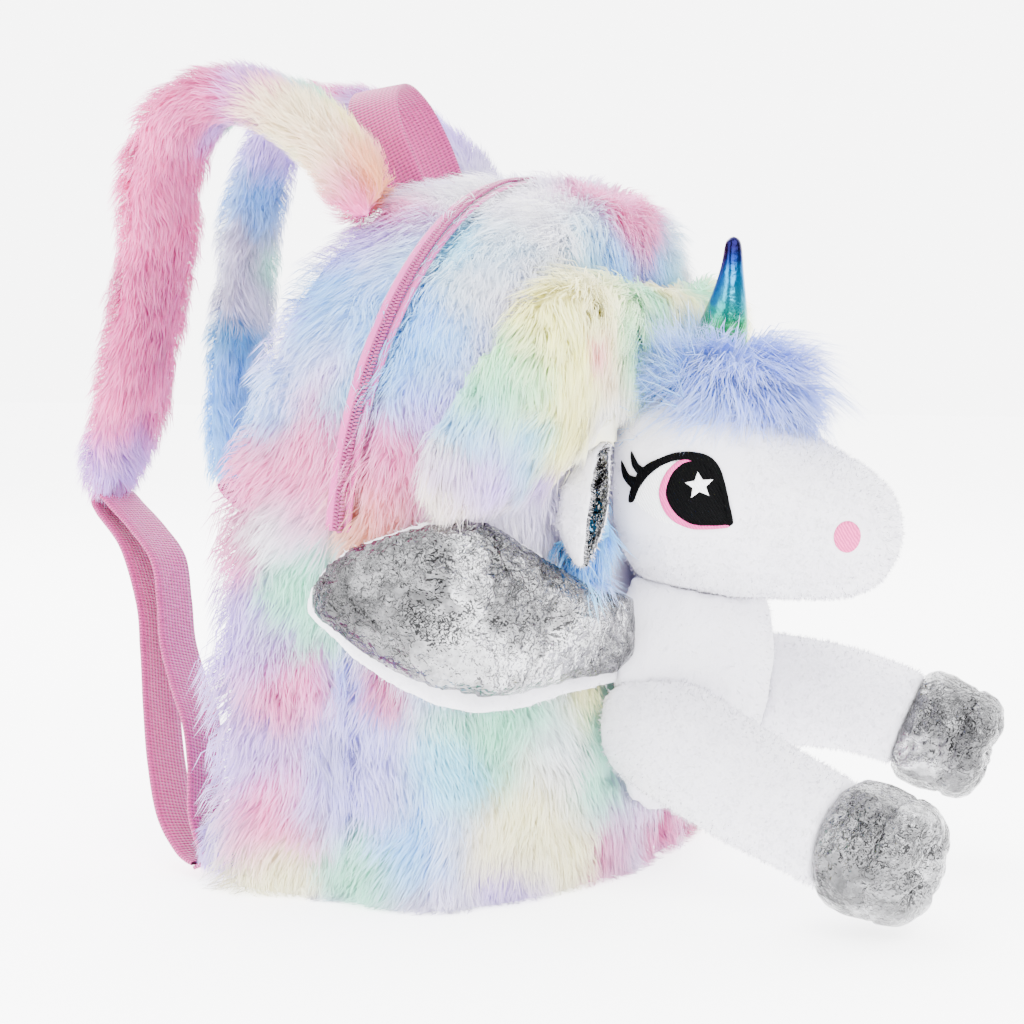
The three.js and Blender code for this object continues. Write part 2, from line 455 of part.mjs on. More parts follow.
add('mane', maneSolid, '#e4eedc', 0.95);
add('mane_lock_left', lock, '#8fc2e6', 0.95);
add('mane_lock_right', mirrored(lock).subtract(farMass), '#8fc2e6', 0.95);
add('chest', chestSolid, WHITE, 0.9);
add('head', headSolid, WHITE, 0.9);
add('horn', hornSolid, '#2f8f9a', 0.25, 0.9);
add('forelock', forelock, '#aab9ea', 0.95);
add('ear_left', earLeft, WHITE, 0.9);
add('ear_right', mirrored(earOuter).subtract(headCut).subtract(bagCut), WHITE, 0.9);
add('ear_lining_left', earLiningLeft, FOIL, 0.3, 0.9);
add('ear_lining_right', mirrored(earInner).subtract(headCut).subtract(bagCut), FOIL, 0.3, 0.9);
for (const [s, f] of [['left', (m) => m], ['right', mirrored]]) {
  add('eye_' + s, f(eyeBlack), '#16151c', 0.6);
  add('eyelid_' + s, f(eyelid), '#16151c', 0.6);
  add('eye_ring_' + s, f(eyeRing), '#ee8fc0', 0.6);
  add('eye_star_' + s, f(eyeStar), '#ffffff', 0.6);
  add('nostril_' + s, f(nostril), '#f3a3c4', 0.7);
}
add('wing_left', wingLeft, FOIL, 0.28, 0.9);
add('wing_right', wingRight, FOIL, 0.28, 0.9);
add('wing_backing_left', wingBackLeft, WHITE, 0.9);
add('wing_backing_right', wingBackRight, WHITE, 0.9);
add('leg_left', body.leg_left, WHITE, 0.9);
add('leg_right', body.leg_right, WHITE, 0.9);
add('hoof_left', body.hoof_left, FOIL, 0.28, 0.9);
add('hoof_right', body.hoof_right, FOIL, 0.28, 0.9);

export default root;
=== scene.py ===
import math
import bpy
import numpy as np
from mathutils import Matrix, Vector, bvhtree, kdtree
from mathutils.geometry import delaunay_2d_cdt


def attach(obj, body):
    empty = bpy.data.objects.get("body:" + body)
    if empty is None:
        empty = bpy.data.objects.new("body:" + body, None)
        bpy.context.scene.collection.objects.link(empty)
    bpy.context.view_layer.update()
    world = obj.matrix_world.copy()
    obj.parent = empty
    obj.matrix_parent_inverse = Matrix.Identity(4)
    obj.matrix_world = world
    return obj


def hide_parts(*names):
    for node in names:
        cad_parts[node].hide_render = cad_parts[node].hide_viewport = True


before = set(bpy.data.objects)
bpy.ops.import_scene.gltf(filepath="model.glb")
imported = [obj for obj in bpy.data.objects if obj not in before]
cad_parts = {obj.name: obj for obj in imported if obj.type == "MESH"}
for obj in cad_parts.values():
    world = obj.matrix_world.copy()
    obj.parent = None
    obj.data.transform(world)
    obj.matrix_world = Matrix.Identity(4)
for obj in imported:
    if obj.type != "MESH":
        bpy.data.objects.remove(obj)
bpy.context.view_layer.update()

MM = 0.001


# ------------------------------------------------------------------ numbers
def smooth_table(rows, t):
    """Catmull-Rom through rows, t from 0 to 1 along them."""
    rows = np.asarray(rows, float)
    n = len(rows)
    f = np.clip(np.asarray(t, float), 0, 1) * (n - 1)
    i = np.minimum(f.astype(int), n - 2)
    u = (f - i)[:, None]
    p0, p1, p2, p3 = rows[np.maximum(i - 1, 0)], rows[i], rows[i + 1], rows[np.minimum(i + 2, n - 1)]
    return 0.5 * (2 * p1 + (p2 - p0) * u + (2 * p0 - 5 * p1 + 4 * p2 - p3) * u ** 2 + (3 * p1 - p0 - 3 * p2 + p3) * u ** 3)


def unit(v):
    return v / np.maximum(np.linalg.norm(v, axis=-1, keepdims=True), 1e-9)


def hash3(i, seed):
    s = np.sin(i[..., 0] * 127.1 + i[..., 1] * 311.7 + i[..., 2] * 74.7 + seed * 53.3) * 43758.5453
    return s - np.floor(s)


def noise(p, scale, seed=0.0):
    """Smooth value noise, -1 to 1. p in mm, scale in mm."""
    q = np.asarray(p, float) / scale
    i = np.floor(q)
    f = q - i
    f = f * f * (3 - 2 * f)
    out = 0
    for dx in (0, 1):
        for dy in (0, 1):
            for dz in (0, 1):
                w = (f[..., 0] if dx else 1 - f[..., 0]) * (f[..., 1] if dy else 1 - f[..., 1]) * (f[..., 2] if dz else 1 - f[..., 2])
                out = out + w * hash3(i + np.array([dx, dy, dz]), seed)
    return out * 2 - 1


def srgb(h):
    c = np.array([int(h[i:i + 2], 16) / 255 for i in (1, 3, 5)])
    return np.where(c <= 0.04045, c / 12.92, ((c + 0.055) / 1.055) ** 2.4)


PAL = {k: srgb(v) for k, v in {
    "PINK": "#e674b5", "ROSE": "#d45a9f", "LILAC": "#c3a8e8", "LAV": "#b7b3e8", "SKY": "#7cc6f5", "BLUE": "#5fade6",
    "TEAL": "#2f97cc", "MINT": "#93e0c4", "AQUA": "#80d6ec", "CREAM": "#f6f2cc", "YELLOW": "#f1eea6", "WHITE": "#f1eff4",
    "PEACH": "#f5bd88", "PALE": "#dcd6ee", "GREY": "#c4c0d4", "PERI": "#8ea8ef",
}.items()}

# ------------------------------------------------------------------ bag form, the same numbers as the part
HALF, BACK_Y, SEAM_Y, BULGE, TALL, FRONT_TALL = 126.0, 54.0, -49.0, 46.0, 298.0, 290.0
ZIP_Y, ZIP_LOW = -3.0, 150.0


def nod(z):
    return -30 * np.clip((np.asarray(z, float) - 130) / 170, 0, 1.15) ** 1.6


def arch(s, w, h, k=2.3, spring=0.48):
    """s from 0 (left foot) over the top to 1 (right foot); x, z."""
    s = np.asarray(s, float)
    side = 0.3
    low = np.clip(s / side, 0, 1)
    high = np.clip((1 - s) / side, 0, 1)
    t = np.clip((s - side) / (1 - 2 * side), 0, 1) * math.pi
    c, sn = np.cos(t), np.sin(t)
    x = -w * np.sign(c) * np.abs(c) ** (2 / k)
    z = h * (spring + (1 - spring) * np.abs(sn) ** (2 / k))
    z = np.where(s < side, low * h * spring, np.where(s > 1 - side, high * h * spring, z))
    return x, z


def depth_form(y):
    """half width and height of the arch at this depth of the gusset"""
    q = np.clip(1 - ((y + 3) / 52) ** 2, 0, 1)
    share = np.interp(y, [48, 54], [1, 0.955])
    w = HALF * share * (1 + 0.045 * q)
    h = np.where(y < -3, FRONT_TALL + (TALL * 1.012 - FRONT_TALL) * q, TALL * (1 + 0.012 * q)) * (0.5 + 0.5 * share)
    return w, h


def on_bag(s, y, inset=0.0):
    """points on the gusset (upright depth y), leaned"""
    s, y = np.broadcast_arrays(np.asarray(s, float), np.asarray(y, float))
    w, h = depth_form(y)
    x, z = arch(s, w - inset, h - inset)
    return np.stack([x, y + nod(z), z], -1)


def on_front(s, b, inset=0.0):
    """points on the front panel, b from 0 at the seam to 1 at the middle"""
    s, b = np.broadcast_arrays(np.asarray(s, float), np.asarray(b, float))
    x, z = arch(s, 1.0, 1.0)
    w = (HALF - inset) * (1 - b) ** (1 / 2.2)
    h = (FRONT_TALL - inset) * (1 - b) ** (1 / 3.5)
    x, z = x * w, z * h
    return np.stack([x, SEAM_Y - (BULGE - inset) * b + nod(z), z], -1)


def on_back(s, b, inset=0.0):
    s, b = np.broadcast_arrays(np.asarray(s, float), np.asarray(b, float))
    w, h = depth_form(np.float64(BACK_Y))
    x, z = arch(s, 1.0, 1.0)
    f = 1 - b
    x, z = x * (w - inset) * f, z * (h - inset) * f
    puff = 5 * (1 - f ** 4) * np.clip(z / 20, 0, 1)
    return np.stack([x, BACK_Y - inset + puff + nod(z), z], -1)


# ------------------------------------------------------------------ mesh building
def mesh_from(name, verts, faces, mat, smooth=True, colors=None, normals=None):
    me = bpy.data.meshes.new(name)
    verts = np.asarray(verts, np.float32) * MM
    faces = np.asarray(faces, np.int32)
    nf, k = faces.shape
    me.vertices.add(len(verts))
    me.vertices.foreach_set("co", verts.ravel())
    me.loops.add(nf * k)
    me.loops.foreach_set("vertex_index", faces.ravel())
    me.polygons.add(nf)
    me.polygons.foreach_set("loop_start", np.arange(0, nf * k, k, dtype=np.int32))
    me.update(calc_edges=True)
    me.validate()
    if smooth:
        me.polygons.foreach_set("use_smooth", np.ones(nf, bool))
    if colors is not None:
        a = me.color_attributes.new("tint", "FLOAT_COLOR", "POINT")
        a.data.foreach_set("color", np.c_[colors, np.ones(len(colors))].astype(np.float32).ravel())
    if normals is not None:
        me.normals_split_custom_set_from_vertices([tuple(n) for n in normals])
    me.materials.append(mat)
    o = bpy.data.objects.new(name, me)
    bpy.context.scene.collection.objects.link(o)
    return o


def grid_faces(nu, nv, wrap_u=False, wrap_v=False):
    iu, iv = np.meshgrid(np.arange(nu if wrap_u else nu - 1), np.arange(nv if wrap_v else nv - 1), indexing="ij")
    a = iu * nv + iv
    b = ((iu + 1) % nu) * nv + iv
    c = ((iu + 1) % nu) * nv + (iv + 1) % nv
    d = iu * nv + (iv + 1) % nv
    return np.stack([a, b, c, d], -1).reshape(-1, 4)


def grid_mesh(name, P, mat, wrap_u=False, wrap_v=False, out_from=None, thick=0, **kw):
    nu, nv = P.shape[:2]
    f = grid_faces(nu, nv, wrap_u, wrap_v)
    V = P.reshape(-1, 3)
    if out_from is not None:
        a, b, c, d = (V[f[:, i]] for i in range(4))
        n = np.cross(c - a, d - b)
        mid = (a + b + c + d) / 4
        if np.mean(np.sum(n * (mid - out_from(mid)), 1)) < 0:
            f = f[:, ::-1]
    o = mesh_from(name, V, f, mat, **kw)
    if thick:
        m = o.modifiers.new("thick", "SOLIDIFY")
        m.thickness = thick * MM
        m.offset = -1
        apply_modifiers(o)
    return o


def apply_modifiers(o):
    dg = bpy.context.evaluated_depsgraph_get()
    me = bpy.data.meshes.new_from_object(o.evaluated_get(dg), preserve_all_data_layers=True, depsgraph=dg)
    old = o.data
    o.modifiers.clear()
    o.data = me
    bpy.data.meshes.remove(old)


def soften(node, name, mat, voxel=2.2, rounds=6, factor=0.5):
    """a smooth stuffed form made from a CAD node's own mesh"""
    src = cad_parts[node]
    o = src.copy()
    o.data = src.data.copy()
    o.name = name
    o.hide_render = o.hide_viewport = False
    for key in list(o.keys()):
        del o[key]
    o.parent = None
    o.matrix_world = src.matrix_world
    bpy.context.scene.collection.objects.link(o)
    m = o.modifiers.new("remesh", "REMESH")
    m.mode = "VOXEL"
    m.voxel_size = voxel * MM
    m.use_smooth_shade = True
    if rounds:
        m = o.modifiers.new("smooth", "SMOOTH")
        m.iterations = rounds
        m.factor = factor
    apply_modifiers(o)
    me = o.data
    me.transform(o.matrix_world)
    o.matrix_world.identity()
    me.materials.clear()
    me.materials.append(mat)
    me.polygons.foreach_set("use_smooth", np.ones(len(me.polygons), bool))
    return o


def arrays(o):
    me = o.data
    n = len(me.vertices)
    v = np.empty(n * 3, np.float32)
    me.vertices.foreach_get("co", v)
    nn = np.empty(n * 3, np.float32)
    me.vertices.foreach_get("normal", nn)
    me.calc_loop_triangles()
    t = np.empty(len(me.loop_triangles) * 3, np.int32)
    me.loop_triangles.foreach_get("vertices", t)
    return v.reshape(-1, 3) / MM, nn.reshape(-1, 3), t.reshape(-1, 3)


def set_verts(o, v):
    o.data.vertices.foreach_set("co", (np.asarray(v) * MM).astype(np.float32).ravel())
    o.data.update()


def scatter(o, n, rng, keep=None):
    """n points on the object's faces, with smooth normals"""
    v, nn, t = arrays(o)
    a, b, c = v[t[:, 0]], v[t[:, 1]], v[t[:, 2]]
    area = np.linalg.norm(np.cross(b - a, c - a), axis=1)
    if keep is not None:
        mid, fn = (a + b + c) / 3, unit(np.cross(b - a, c - a))
        area = area * keep(mid, fn)
    i = rng.choice(len(t), n, p=area / area.sum())
    u, w = rng.random(n), rng.random(n)
    flip = u + w > 1
    u[flip], w[flip] = 1 - u[flip], 1 - w[flip]
    u, w = u[:, None], w[:, None]
    P = a[i] + (b[i] - a[i]) * u + (c[i] - a[i]) * w
    N = unit(nn[t[i, 0]] * (1 - u - w) + nn[t[i, 1]] * u + nn[t[i, 2]] * w)
    return P, N


def fur(name, P, N, comb, color, rng, length=15, width=0.5, stand=0.8, clump=90, curl=0.5, mat=None, spread=0.26, tip_pull=0.3, frost=0.34, clear=None):
    """tapered strands laid over the skin, drawn together in soft tufts"""
    n = len(P)
    comb_d = comb(P, N)
    comb_d = comb_d - N * np.sum(comb_d * N, 1, keepdims=True)
    D = unit(comb_d)
    side = np.cross(N, D)
    swirl = noise(P, 30, 3.1)[:, None] * 0.6 + noise(P, 12, 7.7)[:, None] * 0.4
    D = unit(D + side * (swirl + rng.normal(0, spread, (n, 1))))
    L = length * (0.7 + 0.45 * rng.random((n, 1))) * (1 + 0.18 * noise(P, 17, 1.3)[:, None])
    up = stand * (0.7 + 0.6 * rng.random((n, 1))) * (1 + 0.4 * noise(P, 15, 5.5)[:, None])
    tip = P + D * L * 0.85 + N * L * up * 0.6
    # tufts
    m = max(4, n // clump)
    gi = rng.choice(n, m, replace=False)
    tree = kdtree.KDTree(m)
    for k, g in enumerate(gi):
        tree.insert(Vector(P[g]), k)
    tree.balance()
    near = np.array([tree.find(Vector(p))[1] for p in P])
    gt = tip[gi] + rng.normal(0, 1.0, (m, 3))
    pull = tip_pull * (0.4 + 0.8 * rng.random((n, 1)))
    tip = tip * (1 - pull) + (gt[near] + (P - P[gi][near]) * 0.3) * pull
    mid = P + D * L * 0.3 + N * L * up * 0.62
    phase = rng.random((n, 1)) * 6.28
    base = color(P)
    if clear is not None:
        ok = clear(P, mid, tip)
        P, N, D, mid, tip, phase, base, near, L = (q[ok] for q in (P, N, D, mid, tip, phase, base, near, L))
        n = len(P)
    tip[:, 2] = np.maximum(tip[:, 2], 0.6 + 1.5 * rng.random(n))
    mid[:, 2] = np.maximum(mid[:, 2], 0.8)
    ts = np.array([0, 0.48, 1.0])
    width_at = np.array([0.9, 0.85, 0])
    W = unit(np.cross(D, N) + N * rng.normal(0, 0.3, (n, 1)))
    w = width * (0.55 + 0.9 * rng.random((n, 1)))
    tone = (1 + rng.normal(0, 0.05, (n, 1))) * (1 + 0.05 * noise(P, 8, 9.2)[:, None])
    tuft_tone = 1 + 0.045 * rng.normal(0, 1, (m, 1))[near]
    verts, cols, nor = [], [], []
    tip_n = unit(N + D * 0.15 + rng.normal(0, 0.12, (n, 3)) + np.array([0, 0, 0.15]))
    for k, t in enumerate(ts):
        c = P * (1 - t) ** 2 + 2 * mid * t * (1 - t) + tip * t ** 2
        c = c + W * np.sin(t * 4.5 + phase) * curl * t
        # painted shade and painted light: each strand is darker at the root, where the pile shades itself, and
        # brighter toward the tip
        shade = np.interp(t, [0, 0.48, 1], [0.98, 1.1, 1.16])
        col = base * tone * tuft_tone * shade
        # painted light: the tips are whitened as if lit through
        col = col + (1 - col) * (frost * t ** 2)
        if k == len(ts) - 1:
            verts.append(c); cols.append(col); nor.append(tip_n)
        else:
            verts += [c - W * w * width_at[k] / 2, c + W * w * width_at[k] / 2]
            cols += [col, col]; nor += [tip_n, tip_n]
    per = len(verts)
    V = np.stack(verts, 1).reshape(-1, 3)
    C = np.clip(np.stack(cols, 1).reshape(-1, 3), 0, 1)
    M = np.stack(nor, 1).reshape(-1, 3)
    tris = np.array([[0, 1, 3], [0, 3, 2], [2, 3, 4]])
    F = (np.arange(n)[:, None, None] * per + tris[None]).reshape(-1, 3)
    return mesh_from(name, V, F, mat, colors=C, normals=M)


def fuzz(name, o, n, rng, mat, length=2.4, width=0.45, keep=None):
    """very short pile, one blade each"""
    P, N = scatter(o, n, rng, keep=keep)
    D = unit(rng.normal(0, 1, (n, 3)) + np.array([0, 0, -0.8]))
    D = unit(D - N * np.sum(D * N, 1, keepdims=True))
    L = length * (0.6 + 0.8 * rng.random((n, 1)))
    tip = P + N * L * 0.62 + D * L * 0.6
    tip[:, 2] = np.maximum(tip[:, 2], 0.4)
    W = np.cross(D, N) * width * 0.5
    V = np.stack([P - W - N * 0.3, P + W - N * 0.3, tip], 1).reshape(-1, 3)
    M = np.repeat(unit(N + rng.normal(0, 0.2, (n, 3))), 3, 0)
    return mesh_from(name, V, np.arange(3 * n).reshape(-1, 3), mat, normals=M)


def color_verts(o, tint_fn, shade=1.0):
    v, _, _ = arrays(o)
    a = o.data.color_attributes.new("tint", "FLOAT_COLOR", "POINT")
    a.data.foreach_set("color", np.c_[np.clip(tint_fn(v) * shade, 0, 1), np.ones(len(v))].astype(np.float32).ravel())


def lumpy(o, big=1.6, small=0.8, seam=False):
    v, nn, _ = arrays(o)
    k = 1.0
    if seam:
        y = v[:, 1] - nod(v[:, 2])
        k = np.clip(np.abs(y - SEAM_Y) / 14, 0, 1) * np.clip((np.abs(y - ZIP_Y) - 4) / 10, 0, 1)
    set_verts(o, v + nn * ((big * noise(v, 30, 8.8) + small * noise(v, 13, 6.6)) * k)[:, None])


# ------------------------------------------------------------------ materials
def material(name):
    m = bpy.data.materials.new(name)
    m.use_nodes = True
    nt = m.node_tree
    b = nt.nodes["Principled BSDF"]
    return m, nt, b


def node(nt, kind, **inputs):
    n = nt.nodes.new(kind)
    for k, v in inputs.items():
        if k in n.inputs:
            n.inputs[k].default_value = v
    return n


def fur_material(name, rough=0.85, through=0.0):
    m, nt, b = material(name)
    a = node(nt, "ShaderNodeAttribute")
    a.attribute_name = "tint"
    nt.links.new(a.outputs["Color"], b.inputs["Base Color"])
    b.inputs["Roughness"].default_value = rough
    b.inputs["Specular IOR Level"].default_value = 0.15
    if through:
        tr = node(nt, "ShaderNodeBsdfTranslucent")
        mx = node(nt, "ShaderNodeMixShader")
        mx.inputs[0].default_value = through
        out = nt.nodes["Material Output"]
        nt.links.new(a.outputs["Color"], tr.inputs["Color"])
        nt.links.new(b.outputs["BSDF"], mx.inputs[1])
        nt.links.new(tr.outputs["BSDF"], mx.inputs[2])
        nt.links.new(mx.outputs["Shader"], out.inputs["Surface"])
    return m


def cloth_material(name, color, rough=0.9, scale=900, strength=0.25, distance=0.0004, sheen=0.3, vary=0.04, detail=4):
    m, nt, b = material(name)
    tc = node(nt, "ShaderNodeTexCoord")
    n1 = node(nt, "ShaderNodeTexNoise", Scale=scale, Detail=detail, Roughness=0.6)
    n2 = node(nt, "ShaderNodeTexNoise", Scale=45, Detail=3, Roughness=0.5)
    ramp = node(nt, "ShaderNodeValToRGB")
    ramp.color_ramp.elements[0].position = 0.3
    ramp.color_ramp.elements[0].color = (*np.clip(np.array(color) * (1 - vary * 2), 0, 1), 1)
    ramp.color_ramp.elements[1].position = 0.7
    ramp.color_ramp.elements[1].color = (*color, 1)
    bump = node(nt, "ShaderNodeBump", Strength=strength, Distance=distance)
    nt.links.new(tc.outputs["Object"], n1.inputs["Vector"])
    nt.links.new(tc.outputs["Object"], n2.inputs["Vector"])
    nt.links.new(n2.outputs["Fac"], ramp.inputs["Fac"])
    nt.links.new(ramp.outputs["Color"], b.inputs["Base Color"])
    nt.links.new(n1.outputs["Fac"], bump.inputs["Height"])
    nt.links.new(bump.outputs["Normal"], b.inputs["Normal"])
    b.inputs["Roughness"].default_value = rough
    b.inputs["Sheen Weight"].default_value = sheen
    b.inputs["Specular IOR Level"].default_value = 0.25
    return m


def foil_material(name):
    m, nt, b = material(name)
    L = nt.links.new
    tc = node(nt, "ShaderNodeTexCoord")
    warp = node(nt, "ShaderNodeTexNoise", Scale=55, Detail=4, Roughness=0.6)
    mix = node(nt, "ShaderNodeMix")
    mix.data_type = "VECTOR"
    mix.inputs["Factor"].default_value = 0.05
    broad = node(nt, "ShaderNodeTexNoise", Scale=34, Detail=2, Roughness=0.5, Distortion=0.8)
    ridge = node(nt, "ShaderNodeTexNoise", Scale=70, Detail=4, Roughness=0.5)
    ridge.noise_type = "RIDGED_MULTIFRACTAL"
    vor = node(nt, "ShaderNodeTexVoronoi", Scale=105)
    vor.feature = "DISTANCE_TO_EDGE"
    crack = node(nt, "ShaderNodeMapRange")
    crack.inputs["From Max"].default_value = 0.09
    area_mask = node(nt, "ShaderNodeTexNoise", Scale=24, Detail=2)
    am = node(nt, "ShaderNodeMapRange")
    am.inputs["From Min"].default_value = 0.42
    am.inputs["From Max"].default_value = 0.6
    fine = node(nt, "ShaderNodeTexNoise", Scale=520, Detail=2, Roughness=0.5)
    L(tc.outputs["Object"], warp.inputs["Vector"])
    L(tc.outputs["Object"], mix.inputs[4])
    L(warp.outputs["Color"], mix.inputs[5])
    for n in (vor, ridge, broad):
        L(mix.outputs[1], n.inputs["Vector"])
    for n in (area_mask, fine):
        L(tc.outputs["Object"], n.inputs["Vector"])
    L(vor.outputs["Distance"], crack.inputs["Value"])
    L(area_mask.outputs["Fac"], am.inputs["Value"])

    def math_node(op, x, y=None, z=None):
        n = node(nt, "ShaderNodeMath")
        n.operation = op
        for i, q in enumerate((x, y, z)):
            if q is None:
                continue
            if isinstance(q, (int, float)):
                n.inputs[i].default_value = q
            else:
                L(q, n.inputs[i])
        return n.outputs[0]

    creased = math_node("MULTIPLY", math_node("SUBTRACT", 1.0, crack.outputs["Result"]), am.outputs["Result"])
    detail = math_node("MULTIPLY_ADD", fine.outputs["Fac"], 0.09, math_node("MULTIPLY", ridge.outputs["Fac"], 0.75))
    detail = math_node("MULTIPLY", detail, math_node("MULTIPLY_ADD", am.outputs["Result"], 0.8, 0.25))
    height = math_node("SUBTRACT", math_node("MULTIPLY_ADD", broad.outputs["Fac"], 2.6, detail), math_node("MULTIPLY", creased, 0.22))
    bump = node(nt, "ShaderNodeBump", Strength=1.0, Distance=0.0034)
    L(height, bump.inputs["Height"])
    L(bump.outputs["Normal"], b.inputs["Normal"])
    # painted reflection: the base colour below is patchy bright and dark, a little lighter on the ridges as painted
    # highlight and darker in the creases as painted shade, standing in for the room mirrored in crinkled foil; the
    # creases also feed the bump
    painted_reflection_zone = node(nt, "ShaderNodeTexNoise", Scale=21, Detail=3, Roughness=0.55, Distortion=1.2)
    L(mix.outputs[1], painted_reflection_zone.inputs["Vector"])
    tone = math_node("SUBTRACT", math_node("MULTIPLY_ADD", ridge.outputs["Fac"], 0.08, painted_reflection_zone.outputs["Fac"]), math_node("MULTIPLY", creased, 0.1))
    tone = math_node("ADD", tone, math_node("MULTIPLY_ADD", fine.outputs["Fac"], 0.06, -0.03))
    ramp = node(nt, "ShaderNodeValToRGB")
    cr = ramp.color_ramp
    cr.elements[0].position, cr.elements[0].color = 0.26, (0.03, 0.03, 0.031, 1)
    cr.elements[1].position, cr.elements[1].color = 0.86, (0.9, 0.9, 0.91, 1)
    for q, g in ((0.38, 0.07), (0.48, 0.13), (0.58, 0.23), (0.70, 0.5)):
        e = cr.elements.new(q)
        e.color = (g, g, g * 1.03, 1)
    L(tone, ramp.inputs["Fac"])
    L(ramp.outputs["Color"], b.inputs["Base Color"])
    b.inputs["Metallic"].default_value = 1.0
    b.inputs["Roughness"].default_value = 0.09
    return m


FUR = fur_material("fur_strands", through=0.55)
FUR_SKIN = fur_material("fur_skin", rough=0.95)
FUZZ, fz_nt, fz_b = material("white_pile")
fz_b.inputs["Base Color"].default_value = (0.80, 0.785, 0.84, 1)
fz_b.inputs["Roughness"].default_value = 0.9
fz_b.inputs["Specular IOR Level"].default_value = 0.1
WHITE_PLUSH = cloth_material("white_plush", (0.78, 0.765, 0.83), scale=1400, strength=0.35, distance=0.0005, sheen=0.5)
FOIL = foil_material("silver_foil")
SKIN = {k: FUR_SKIN for k in ("bag", "strap", "far", "mane", "lock", "forelock")}


def webbing_material():
    m, nt, b = material("pink_webbing")
    tc = node(nt, "ShaderNodeTexCoord")
    w1 = node(nt, "ShaderNodeTexWave", Scale=1.0, Distortion=0.4, Detail=1)
    w1.bands_direction = "Y"
    uvm = node(nt, "ShaderNodeMapping")
    uvm.inputs["Scale"].default_value = (1, 1, 1)
    w2 = node(nt, "ShaderNodeTexWave", Scale=1.0, Distortion=0.3, Detail=1)
    w2.bands_direction = "X"
    w1.inputs["Scale"].default_value = 2.1
    w2.inputs["Scale"].default_value = 1.5
    mul = node(nt, "ShaderNodeMath")
    mul.operation = "MULTIPLY_ADD"
    mul.inputs[1].default_value = 0.7
    ramp = node(nt, "ShaderNodeValToRGB")
    ramp.color_ramp.elements[0].color = (*srgb("#7a1953"), 1)
    ramp.color_ramp.elements[1].color = (*srgb("#ba2f7e"), 1)
    ramp.color_ramp.elements[0].position = 0.25
    bump = node(nt, "ShaderNodeBump", Strength=0.7, Distance=0.0007)
    nt.links.new(tc.outputs["UV"], w1.inputs["Vector"])
    nt.links.new(tc.outputs["UV"], w2.inputs["Vector"])
    nt.links.new(w2.outputs["Fac"], mul.inputs[0])
    nt.links.new(w1.outputs["Fac"], mul.inputs[2])
    nt.links.new(mul.outputs["Value"], bump.inputs["Height"])
    nt.links.new(mul.outputs["Value"], ramp.inputs["Fac"])
    nt.links.new(ramp.outputs["Color"], b.inputs["Base Color"])
    nt.links.new(bump.outputs["Normal"], b.inputs["Normal"])
    b.inputs["Roughness"].default_value = 0.65
    b.inputs["Sheen Weight"].default_value = 0.2
    return m


WEB = webbing_material()
TAPE = cloth_material("zip_tape", tuple(srgb("#c04c92")), scale=1600, strength=0.3, distance=0.0003)
COIL = cloth_material("zip_coil", tuple(srgb("#96386f")), rough=0.35, scale=600, strength=0.05, sheen=0)


def thread_material(name, color, contrast=0.75):
    m, nt, b = material(name)
    tc = node(nt, "ShaderNodeTexCoord")
    mp = node(nt, "ShaderNodeMapping")
    mp.inputs["Rotation"].default_value = (0.5, 0.2, 0)
    wv = node(nt, "ShaderNodeTexWave", Scale=300, Distortion=3.0, Detail=2)
    wv.inputs["Detail Scale"].default_value = 2.0
    wv.bands_direction = "Y"
    ramp = node(nt, "ShaderNodeValToRGB")
    ramp.color_ramp.elements[0].color = (*(np.array(color) * contrast), 1)
    ramp.color_ramp.elements[1].color = (*color, 1)
    bump = node(nt, "ShaderNodeBump", Strength=0.6, Distance=0.0004)
    nt.links.new(tc.outputs["Object"], mp.inputs["Vector"])
    nt.links.new(mp.outputs["Vector"], wv.inputs["Vector"])
    nt.links.new(wv.outputs["Fac"], ramp.inputs["Fac"])
    nt.links.new(ramp.outputs["Color"], b.inputs["Base Color"])
    nt.links.new(wv.outputs["Fac"], bump.inputs["Height"])
    nt.links.new(bump.outputs["Normal"], b.inputs["Normal"])
    b.inputs["Roughness"].default_value = 0.6
    b.inputs["Specular IOR Level"].default_value = 0.04
    return m


THREAD = {k: thread_material("thread_" + k, tuple(srgb(v)), c) for k, v, c in (
    ("black", "#020203", 0.4), ("pink", "#e0509a", 0.7), ("white", "#fbfbfd", 0.86), ("nostril", "#ea5f9f", 0.62))}

